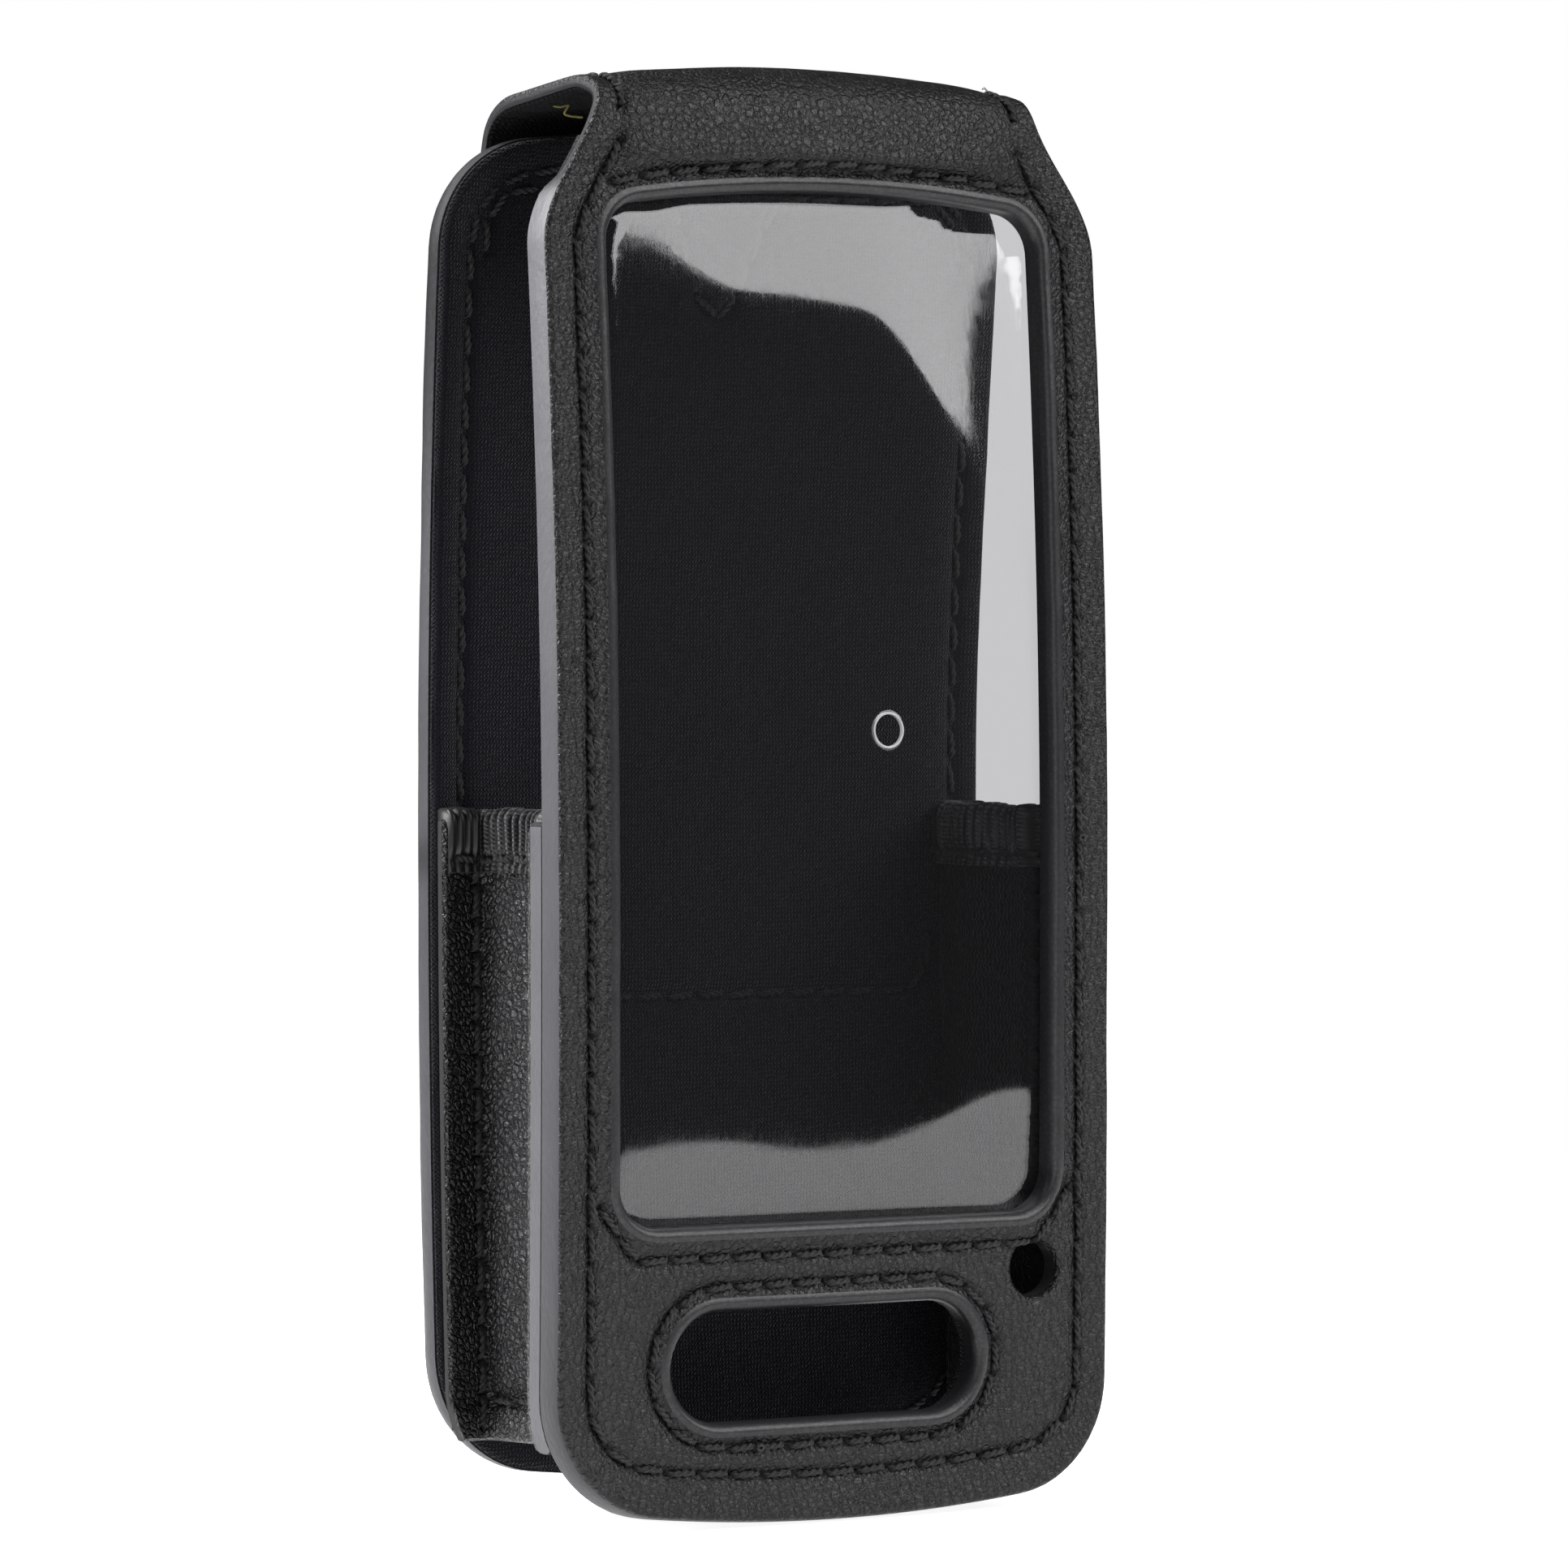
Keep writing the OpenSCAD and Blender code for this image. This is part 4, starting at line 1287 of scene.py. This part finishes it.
U_LINE = resample(np.vstack([U_LEFT, U_DIP, U_LEFT[::-1] * [-1, 1]]), 0.6)
FOOT_LEFT = np.array([[0.6 - LOOP_HALF, 57], [1.2 - LOOP_HALF, 52.6], [3.2 - LOOP_HALF, 51]])
FOOT_LINE = resample(np.vstack([FOOT_LEFT, FOOT_LEFT[::-1] * [-1, 1]]), 0.6)
HOLES_HEAD_LOOP = resample(U_LINE, FINE_PITCH)
HOLES_FOOT_LOOP = resample(FOOT_LINE, FINE_PITCH)
SEAM_RING = np.vstack([SEAM_BACK, SEAM_BACK[:1]])


def back_puff(p):
    return waviness(p, 0.05, 0.22, 21) + waviness(p, 0.2, 0.08, 22)


BACK_EDGE_T = 2.2
BOARD_FACE = 2.2


def build_back_leather():
    region = Region(BACK_OUT, seams=[SEAM_RING], step=1.5)
    p = region.p
    out = back_puff(p) + cut_edge(region.d_out) + sewn(p, [SEAM_RING], [HOLES_BACK])
    inner = np.maximum(np.where(region.d_out < EDGE_BAND, BACK_EDGE_T, LEATHER_T), out + MIN_T)
    # The back panel's edge paint is darker towards the top and at one spot on its left side.
    left_dark_spot = 0.6 * bump_at(p[:, 1] - 65.4, 2.2) * (p[:, 0] < 0)
    darkened = np.maximum(left_dark_spot, 0.95 * smooth((p[:, 1] - 88) / 34))
    paint = {"painted_shade": painted_seam_shade(p, [HOLES_BACK], [SEAM_RING]), "dim": darkened}
    mats = [LEATHER, FLESH, BACK_EDGE]
    return sheet("back_panel_leather", region, wrap_back, out, inner, mats, 3, 0.1, paint)


def build_back_board():
    region = Region(both_sides(back_right(0.85)), step=3.0, edge_step=1.5, rims=())
    outer, inner = np.full(len(region.p), LEATHER_T + 0.5), np.full(len(region.p), BOARD_FACE - 0.05)
    return sheet("back_board", region, wrap_back, outer, inner, [BOARD], 1)


KNIT_FACE = BACK_T + 0.18


def knit_face(p):
    soft = waviness(p, 0.07, 0.22, 31) + waviness(p, 0.25, 0.1, 32)
    return KNIT_FACE + soft - knit_relief(p, [SEAM_RING, U_LINE, FOOT_LINE])


def build_back_knit():
    region = Region(both_sides(back_right(0.18)), seams=[SEAM_RING, U_LINE, FOOT_LINE], step=1.5)
    p = region.p
    holes = np.vstack([HOLES_BACK, HOLES_HEAD_LOOP, HOLES_FOOT_LOOP])
    pucker = 0.3 * bump_at(distance_to_points(p, holes), 0.5)
    inner = knit_face(p) - pucker - round_edge(region.d_out, 0.9)
    outer = np.where(region.d_out < 0.7, BACK_EDGE_T + 0.06, BOARD_FACE)
    return sheet("back_lining", region, wrap_back, outer, np.maximum(inner, outer + 0.3), [KNIT], 2)


finish_piece(build_back_leather(), ["back_leather"], "back_shell")
finish_piece(build_back_board(), ["back_stiffener"], "back_shell")
finish_piece(build_back_knit(), ["back_lining"], "back_shell")


def on_knit(p):
    return knit_face(p) + 0.08


def on_back(p):
    return back_puff(p) + THREAD_SINK


back_runs = [(HOLES_BACK, wrap_back, on_back, -1, True), (HOLES_BACK, wrap_back, on_knit, 1, True)]
finish_piece(thread("back_edge_stitching", back_runs, THREAD), ["back_edge_thread"], "back_shell")

# ---- belt loop and its tape


def loop_lift(z):
    open_z0, open_z1 = LOOP_Z0 + 6.5, LOOP_Z1 - 24.0
    return LOOP_LIFT * smooth((z - open_z0) / 7.5) ** 0.9 * smooth((open_z1 - z) / 8.5) ** 0.9


def wrap_loop(p, n):
    z = p[:, 1]
    eps = 0.2
    slope = (loop_lift(z + eps) - loop_lift(z - eps)) / (2 * eps)
    size = np.sqrt(1 + slope**2)
    face = BACK_Y + back_bow(p[:, 0], z) + LOOP_T + 0.15 + loop_lift(z)
    return np.c_[p[:, 0], face - n / size, z + n * slope / size]


LOOP_OUT = round_rect(LOOP_HALF, LOOP_Z0, LOOP_Z1, 4.0)


def u_seam(z_open, z_turn):
    """A U-shaped row of stitches across the belt loop, open at one height and turning at another."""
    half = LOOP_HALF - 2.6
    corner = math.copysign(1.4, z_open - z_turn)
    left = np.array([[-half, z_open], [-half, z_turn + corner], [1.4 - half, z_turn]])
    return resample(np.vstack([left, left[::-1] * [-1, 1]]), 0.6)


SEAM_LOOP_HEAD = u_seam(DIP_Z - 8, LOOP_Z1 - 2.6)
SEAM_LOOP_FOOT = u_seam(LOOP_Z0 + 5.6, LOOP_Z0 + 2.6)
LOOP_SEAMS = [SEAM_LOOP_HEAD, SEAM_LOOP_FOOT]
HOLES_LOOP_HEAD = resample(SEAM_LOOP_HEAD, FINE_PITCH)
HOLES_LOOP_FOOT = resample(SEAM_LOOP_FOOT, FINE_PITCH)
LOOP_HOLES = [HOLES_LOOP_HEAD, HOLES_LOOP_FOOT]


def loop_puff(p):
    return waviness(p, 0.06, 0.12, 41)


def build_belt_loop():
    region = Region(LOOP_OUT, seams=LOOP_SEAMS, step=1.4)
    p = region.p
    out = loop_puff(p) + round_edge(region.d_out, 0.6) + sewn(p, LOOP_SEAMS, LOOP_HOLES)
    inner = np.maximum(LOOP_T + 0.05 - round_edge(region.d_out, 0.4), out + 0.4)
    painted_shade = {"painted_shade": painted_seam_shade(p, LOOP_HOLES, LOOP_SEAMS)}
    return sheet("belt_loop", region, wrap_loop, out, inner, [LEATHER, FLESH, DARK_EDGE], 3, 0.1, painted_shade)


finish_piece(build_belt_loop(), ["belt_loop"], "back_shell")


def on_loop(p):
    return loop_puff(p) + THREAD_SINK


LOOP_ROWS = [("head", HOLES_LOOP_HEAD, HOLES_HEAD_LOOP), ("foot", HOLES_LOOP_FOOT, HOLES_FOOT_LOOP)]
for part, outside, reverse in LOOP_ROWS:
    runs = [(outside, wrap_loop, on_loop, -1, False), (reverse, wrap_back, on_knit, 1, False)]
    row = thread(f"belt_loop_{part}_stitching", runs, THREAD)
    finish_piece(row, [f"belt_loop_{part}_thread"], "back_shell")

TAPE_HALF = high("loop_tape")[0]
TAPE_Z0, TAPE_Z1 = low("loop_tape")[2], high("loop_tape")[2]
tape_area = tape_region(TAPE_HALF, TAPE_Z0, TAPE_Z1)
tape_low, tape_top = tape_depths(tape_area, 0.12, TAPE_T, -1)
loop_pile = sheet("loop_tape", tape_area, wrap_loop, tape_top, tape_low, [LOOPS], 1)
finish_piece(loop_pile, ["loop_tape"], "back_shell")
HOLES_TAPE = resample(round_rect(TAPE_HALF - 1.0, TAPE_Z0 + 1.0, TAPE_Z1 - 1.0, 0.6, 3), 3.0, True)
tape_runs = [(HOLES_TAPE, wrap_loop, -0.16, -1, True)]
tape_stitches = thread("loop_tape_stitching", tape_runs, THREAD, r=0.15, lift=0.12)
finish_piece(tape_stitches, ["loop_tape_thread"], "back_shell")

# ---- side gussets

GUSSET_Z0 = low("left_gusset_leather")[2]
STACK = 1.9
SKIN_T = 1.2
FOLD_R = 1.0
POCKET_D = (BACK_Y - BACK_T) - (FRONT_Y + FRONT_T)
FLANGE_X = HALF_W + 0.25
PANEL_GAP = 0.04


def gusset_line():
    """The gusset's skin seen from above: flange, web, flange. Columns: x, depth into the pocket."""
    x0 = GUSSET_X + STACK
    web = np.linspace(STACK + FOLD_R, POCKET_D - STACK - FOLD_R, 24)
    t = (web - web[0]) / (web[-1] - web[0])
    fold_in = -1.25 * np.sin(math.pi * t) ** 1.5
    pts = [
        [[FLANGE_X, STACK]],
        arc(x0 + FOLD_R, STACK + FOLD_R, FOLD_R, 270, 180, 8),
        np.c_[x0 + fold_in, web],
        arc(x0 + FOLD_R, POCKET_D - STACK - FOLD_R, FOLD_R, 180, 90, 8),
        [[FLANGE_X, POCKET_D - STACK]],
    ]
    return even_line(np.vstack(pts), 160)


GUSSET_LINE = gusset_line()
G_LEN = GUSSET_LINE[1][-1]


def panel_half_at(z):
    foot = panel_end(FOOT_R, 0)
    return np.interp(z, foot[:, 1], foot[:, 0])


def through_pocket(x, z, b):
    """The y of a depth b into the pocket, which stretches with the two panels' bows."""
    y0 = panel_back_y(x, z) + PANEL_GAP
    y1 = BACK_Y - BACK_T + back_bow(x, z) - PANEL_GAP
    return y0 + b / POCKET_D * (y1 - y0)


def wrap_gusset(side):
    def wrap(p, n):
        u, z = p[:, 0], p[:, 1]
        x, b = off_line(GUSSET_LINE, u, n)
        x = np.minimum(x, panel_half_at(np.clip(z, 0.5, 99)) + 0.3 * np.clip(u / G_LEN, 0, 1))
        return np.c_[side * x, through_pocket(side * x, z, b), z]

    return wrap


def gusset_patch(u0, u1, z0, z1):
    return np.array([[u1, z0], [u1, z1], [u0, z1], [u0, z0]])


def gusset_sag(p):
    """Soft folds in the gusset's web."""
    on_web = np.sin(math.pi * np.clip(p[:, 0] / G_LEN, 0, 1)) ** 2
    return (waviness(p * [1, 0.35], 0.22, 0.55, 51) + waviness(p, 0.35, 0.2, 52)) * on_web


RIBBON_Z0 = GUSSET_Z1 - 6.2
RIB_PITCH = 0.92
WEB_PITCH = 3.4
HEM_PITCH = 3.2
RIBBON_SEAM = 1.3
SEAM_WEB_U = G_LEN - (FLANGE_X - HALF_W + 3.4)
SEAM_RIBBON = np.c_[np.linspace(0.8, G_LEN - 0.8, 30), np.full(30, RIBBON_Z0 + RIBBON_SEAM)]
SEAM_WEB = np.c_[np.full(30, SEAM_WEB_U), np.linspace(GUSSET_Z0 + 1.5, GUSSET_Z1 - 0.8, 30)]
SEAM_HEM = np.c_[np.linspace(4.2, SEAM_WEB_U - 1.0, 20), np.full(20, GUSSET_Z0 + 4.4)]


def paint_front_flange(obj):
    """The front flange's edge carries the front panel's grey edge paint."""
    mesh = obj.data
    mesh.materials.append(EDGE)
    flat = mesh.attributes["flat"].data
    for poly in mesh.polygons:
        if poly.material_index == 2 and all(flat[v].vector[0] < 0.3 for v in poly.vertices):
            poly.material_index = 3


def build_gusset(side, name):
    outline = gusset_patch(0, G_LEN, GUSSET_Z0 + 0.4, GUSSET_Z1 - 1.0)
    seams = [SEAM_WEB, SEAM_HEM]
    region = Region(outline, seams=seams, step=1.0, edge_step=0.7, rims=(0.25, 0.6, 1.1))
    p = region.p
    holes = [resample(SEAM_WEB, WEB_PITCH), resample(SEAM_HEM, HEM_PITCH)]
    out = gusset_sag(p) + sewn(p, seams, holes)
    hem = smooth((GUSSET_Z0 + 4.0 - p[:, 1]) / 0.8)
    turned = smooth((2.6 - p[:, 0]) / 0.5)
    out = out - 0.45 * hem - 0.5 * turned + round_edge(region.d_out, 0.5)
    inner = np.maximum(SKIN_T + gusset_sag(p), out + 0.45)
    inner = np.where(p[:, 0] < 1.0, STACK - 0.02, inner)
    # Painted shade: the rear flange is coloured darker, as the front panel shades it.
    shaded = 0.62 * smooth((p[:, 0] - SEAM_WEB_U - 0.3) / 1.0)
    painted_shade = {"painted_shade": np.maximum(painted_seam_shade(p, holes, seams), shaded)}
    skin = sheet(name, region, wrap_gusset(side), out, inner, [SOFT_LEATHER, FLESH, DARK_EDGE], 2, 0.1, painted_shade)
    paint_front_flange(skin)
    return skin


def build_gusset_lining(side, name):
    outline = gusset_patch(1.5, G_LEN - 0.8, GUSSET_Z0 + 1.4, GUSSET_Z1 - 1.2)
    region = Region(outline, step=1.0, edge_step=0.8, rims=(0.4,))
    p = region.p
    out = SKIN_T + 0.06 + gusset_sag(p)
    ribs = 0.1 * np.sin(2 * math.pi * p[:, 1] / 2.1)
    inner = STACK + gusset_sag(p) + ribs * 0.6 - round_edge(region.d_out, 0.4)
    return sheet(name, region, wrap_gusset(side), out, np.maximum(inner, out + 0.25), [ELASTIC], 1)


def ribbon_section(outer_n, inner_n):
    """Cross-section of the folded ribbon: depth, height and how far the ribs stand there."""
    nose = (inner_n - outer_n) / 2
    middle = (outer_n + inner_n) / 2
    top = GUSSET_Z1 - nose
    heights = [RIBBON_Z0 + t * (top - RIBBON_Z0) for t in np.linspace(0, 1, 18)]
    rows = [(outer_n, z, 1.0) for z in heights]
    for a in np.radians(np.linspace(168, 12, 13)):
        rows.append((middle + nose * math.cos(a), top + nose * math.sin(a), 1.0))
    rows += [(inner_n, z, 1.0) for z in heights[::-1]]
    return rows + [(inner_n - 0.35, RIBBON_Z0 - 0.1, 0.3), (outer_n + 0.35, RIBBON_Z0 - 0.1, 0.3)]


def build_ribbon(side, name, seed):
    """Ribbed ribbon folded over the gusset's top and gathered by its stitches."""
    wrap = wrap_gusset(side)
    cols = int(G_LEN / 0.13)
    u = np.linspace(1.3, G_LEN - 0.4, cols)
    outer_n, inner_n = -0.42, STACK + 0.42
    middle = (outer_n + inner_n) / 2
    rows = ribbon_section(outer_n, inner_n)
    gather = np.array([noise.noise(Vector((a * 0.5, seed, 0))) for a in u])
    ribs = np.abs(np.sin(math.pi * u / RIB_PITCH + 1.3 * gather))
    tall = np.array([noise.noise(Vector((a * 0.35, seed, 7))) for a in u])
    blocks, flats = [], []
    for n, z, share in rows:
        facing = np.sign(middle - n) if abs(n - middle) > 0.2 else 0
        up = smooth((z - RIBBON_Z0) / 4)
        stitched = bump_at(z - (RIBBON_Z0 + RIBBON_SEAM), 0.6)
        puff = (0.34 * ribs + 0.22 * gather) * share * (0.7 + 0.45 * up) - 0.3 * stitched
        lift_z = z + (0.25 * tall + 0.14 * ribs) * up
        here_n = n - facing * puff + gusset_sag(np.c_[u, np.full(cols, z)]) * 0.8
        blocks.append(wrap(np.c_[u, lift_z], here_n))
        flats.append(np.c_[u, np.full(cols, z), np.full(cols, n)])
    # Painted shade: over the rear flange the ribbon's ribs are flattened and coloured darker, as the front
    # panel shades it.
    shaded = 1 - 0.75 * smooth((u - SEAM_WEB_U + 0.4) / 0.8)
    attrs = {"flat": np.vstack(flats), "rib": np.tile(ribs * shaded, len(rows))}
    return grid_solid(name, np.array(blocks), [RIBBON], attrs, 60)


RIBBON_HOLES = resample(SEAM_RIBBON, 2.6)
for side, label in ((-1, "left"), (1, "right")):
    node = f"{label}_gusset"
    skin = build_gusset(side, f"{node}_leather")
    finish_piece(skin, [f"{node}_leather"], gusset_blend)
    finish_piece(build_gusset_lining(side, f"{node}_lining"), [f"{node}_lining"], gusset_blend)
    ribbon = build_ribbon(side, f"{node}_ribbon", 3.0 + side)
    finish_piece(ribbon, [f"{node}_binding"], gusset_blend)
    wrap = wrap_gusset(side)
    runs = [
        (RIBBON_HOLES, wrap, lambda p: gusset_sag(p) - 0.34, -1, False, 0.3),
        (RIBBON_HOLES, wrap, lambda p: STACK + 0.34 + gusset_sag(p), 1, False, 0.3),
        (resample(SEAM_WEB, WEB_PITCH), wrap, lambda p: gusset_sag(p) + 0.05, -1, False, 0.32),
        (resample(SEAM_HEM, HEM_PITCH), wrap, lambda p: gusset_sag(p) - 0.1, -1, False),
    ]
    sewing = thread(f"{node}_stitching", runs, THREAD, r=0.23)
    finish_piece(sewing, [f"{node}_thread"], gusset_blend)

# ---- bottom strap

STRAP_HALF = high("bottom_strap")[0]
STRAP_TOP = high("bottom_strap")[2] - 0.4
STRAP_FOOT = low("bottom_strap")[2]
STRAP_T = 1.2


def strap_line():
    """The strap's lower face from lining to lining, under the pocket. Columns: depth into the pocket, z."""
    r = 2.2
    up = np.linspace(STRAP_TOP, STRAP_FOOT + r + STRAP_T, 8)
    web = np.linspace(r, POCKET_D - r, 14)
    t = (web - web[0]) / (web[-1] - web[0])
    droop = -0.5 * np.sin(math.pi * t)
    foot = STRAP_FOOT + 0.55
    pts = [
        np.c_[np.full(8, 0.05), up],
        arc(r, foot + r, r, 180, 270, 8),
        np.c_[web, foot + droop],
        arc(POCKET_D - r, foot + r, r, 270, 360, 8),
        np.c_[np.full(8, POCKET_D - 0.05), up[::-1]],
    ]
    return even_line(np.vstack(pts), 140)


STRAP_LINE = strap_line()


def wrap_strap(p, n):
    b, z = off_line(STRAP_LINE, p[:, 1], n)
    return np.c_[p[:, 0], through_pocket(p[:, 0], z, b), z]


def build_strap():
    outline = round_rect(STRAP_HALF, 0.1, STRAP_LINE[1][-1] - 0.1, 1.5, 4)
    region = Region(outline, step=1.1, edge_step=0.8, rims=(0.25, 0.6, 1.1))
    out = waviness(region.p, 0.15, 0.12, 61) + round_edge(region.d_out, 0.4)
    inner = np.maximum(STRAP_T - round_edge(region.d_out, 0.3), out + 0.5)
    return sheet("bottom_strap", region, wrap_strap, out, inner, [SOFT_LEATHER, FLESH, DARK_EDGE], 2, 0.1)


finish_piece(build_strap(), ["bottom_strap"], gusset_blend)

# ---- floor, light and camera


FLOOR_LIFT = 0.9
FLOOR_SHEEN = 0.8
FADE = (0.16, 0.6)
TABLE_EDGE = (0.375, 0.395)


def floor():
    """A pale floor that fades into the white backdrop. Reflections see it end at a table's edge."""
    mesh = bpy.data.meshes.new("floor")
    z = CAD_BOX[0][2] - 0.0004
    mesh.from_pydata([(-1, -1, z), (1, -1, z), (1, 1, z), (-1, 1, z)], [], [(0, 1, 2, 3)])
    obj = bpy.data.objects.new("floor", mesh)
    bpy.context.scene.collection.objects.link(obj)
    m, nt = begin("pale floor")
    path = add(nt, "LightPath")
    pale = mul_add(nt, path.outputs["Is Diffuse Ray"], -0.5, 0.86)
    paper = add(nt, "BsdfDiffuse", {"Color": pale})
    lift = mul(nt, path.outputs["Is Camera Ray"], FLOOR_LIFT)
    lift = mul_add(nt, path.outputs["Is Glossy Ray"], FLOOR_SHEEN, lift)
    glow = add(nt, "Emission", {"Strength": lift})
    lit = add(nt, "AddShader", {0: paper.outputs[0], 1: glow.outputs[0]})
    where = add(nt, "NewGeometry")
    spread = add(nt, "VectorMath", {0: where.outputs["Position"]}, operation="LENGTH").outputs["Value"]
    fade = map_range(nt, spread, (FADE[0], 0), (FADE[1], 1), interpolation_type="SMOOTHSTEP")
    table_edge = map_range(nt, spread, (TABLE_EDGE[0], 0), (TABLE_EDGE[1], 1))
    whole = add(nt, "Mix", {0: path.outputs["Is Glossy Ray"], 2: fade, 3: table_edge}).outputs[0]
    gone = add(nt, "BsdfTransparent")
    mix = add(nt, "MixShader", {0: whole, 1: lit.outputs[0], 2: gone.outputs[0]})
    out = add(nt, "OutputMaterial")
    nt.links.new(mix.outputs[0], out.inputs[0])
    mesh.materials.append(m)


def link(obj):
    bpy.context.scene.collection.objects.link(obj)
    return obj


def direction(azimuth, elevation):
    """Unit vector towards a viewer: azimuth 0 stands in front of the case, at -Y."""
    a, e = math.radians(azimuth), math.radians(elevation)
    return Vector((math.sin(a) * math.cos(e), -math.cos(a) * math.cos(e), math.sin(e)))


def area_light(name, azimuth, elevation, distance, size, power, aim):
    away = direction(azimuth, elevation)
    light = bpy.data.lights.new(name, "AREA")
    light.shape = "RECTANGLE"
    light.size, light.size_y = size
    light.energy = power
    obj = link(bpy.data.objects.new(name, light))
    obj.location = Vector(aim) + away * distance
    obj.rotation_mode = "QUATERNION"
    obj.rotation_quaternion = away.to_track_quat("Z", "Y")


def sky(seen, lit):
    """A white backdrop for the camera and a dimmer one for light and reflections."""
    world = bpy.data.worlds.new("studio")
    world.use_nodes = True
    nt = world.node_tree
    nt.nodes.clear()
    path = add(nt, "LightPath")
    straight = maths(nt, "MAXIMUM", path.outputs["Is Camera Ray"], path.outputs["Transmission Depth"])
    dim = add(nt, "Background", {"Color": (*lit, 1), "Strength": 1.0})
    bright = add(nt, "Background", {"Color": (*seen, 1), "Strength": 1.0})
    mix = add(nt, "MixShader", {0: straight, 1: dim.outputs[0], 2: bright.outputs[0]})
    out = add(nt, "OutputWorld")
    nt.links.new(mix.outputs[0], out.inputs[0])
    bpy.context.scene.world = world


AIM_DEPTH = 0.0105
AIM_HEIGHT = 0.0727


def main_camera(azimuth, elevation, distance, lens):
    back = direction(azimuth, elevation)
    data = bpy.data.cameras.new("camera")
    data.sensor_width = 36
    data.lens = lens
    data.clip_start, data.clip_end = 0.01, 50
    camera = link(bpy.data.objects.new("camera", data))
    aim = Vector((0, FRONT_Y * MM + AIM_DEPTH, CAD_BOX[0][2] + AIM_HEIGHT))
    camera.location = aim + back * distance
    camera.rotation_mode = "QUATERNION"
    camera.rotation_quaternion = (-back).to_track_quat("-Z", "Y")
    bpy.context.scene.camera = camera


floor()
sky((1, 1, 1), (0.045, 0.045, 0.047))
MIDDLE = (0, 0, 0.075)
# name, azimuth and elevation in degrees, distance, size, power and the point it faces
LIGHTS = [
    ("key", 36, 32, 1.0, (1.0, 0.66), 8.3, MIDDLE),
    ("left_side", -128, 25, 0.35, (0.24, 0.24), 1.75, (-0.03, 0, 0.11)),
    ("front_fill", -45, 8, 1.2, (0.4, 0.9), 1.7, MIDDLE),
    ("top", 22, 60, 0.8, (0.5, 0.36), 1.2, MIDDLE),
    ("rear", 200, 48, 1.1, (0.8, 0.7), 5.5, MIDDLE),
]
for light in LIGHTS:
    area_light(*light)
main_camera(azimuth=-33, elevation=1.2, distance=0.85, lens=194.8)
bpy.context.scene.view_settings.view_transform = "Standard"
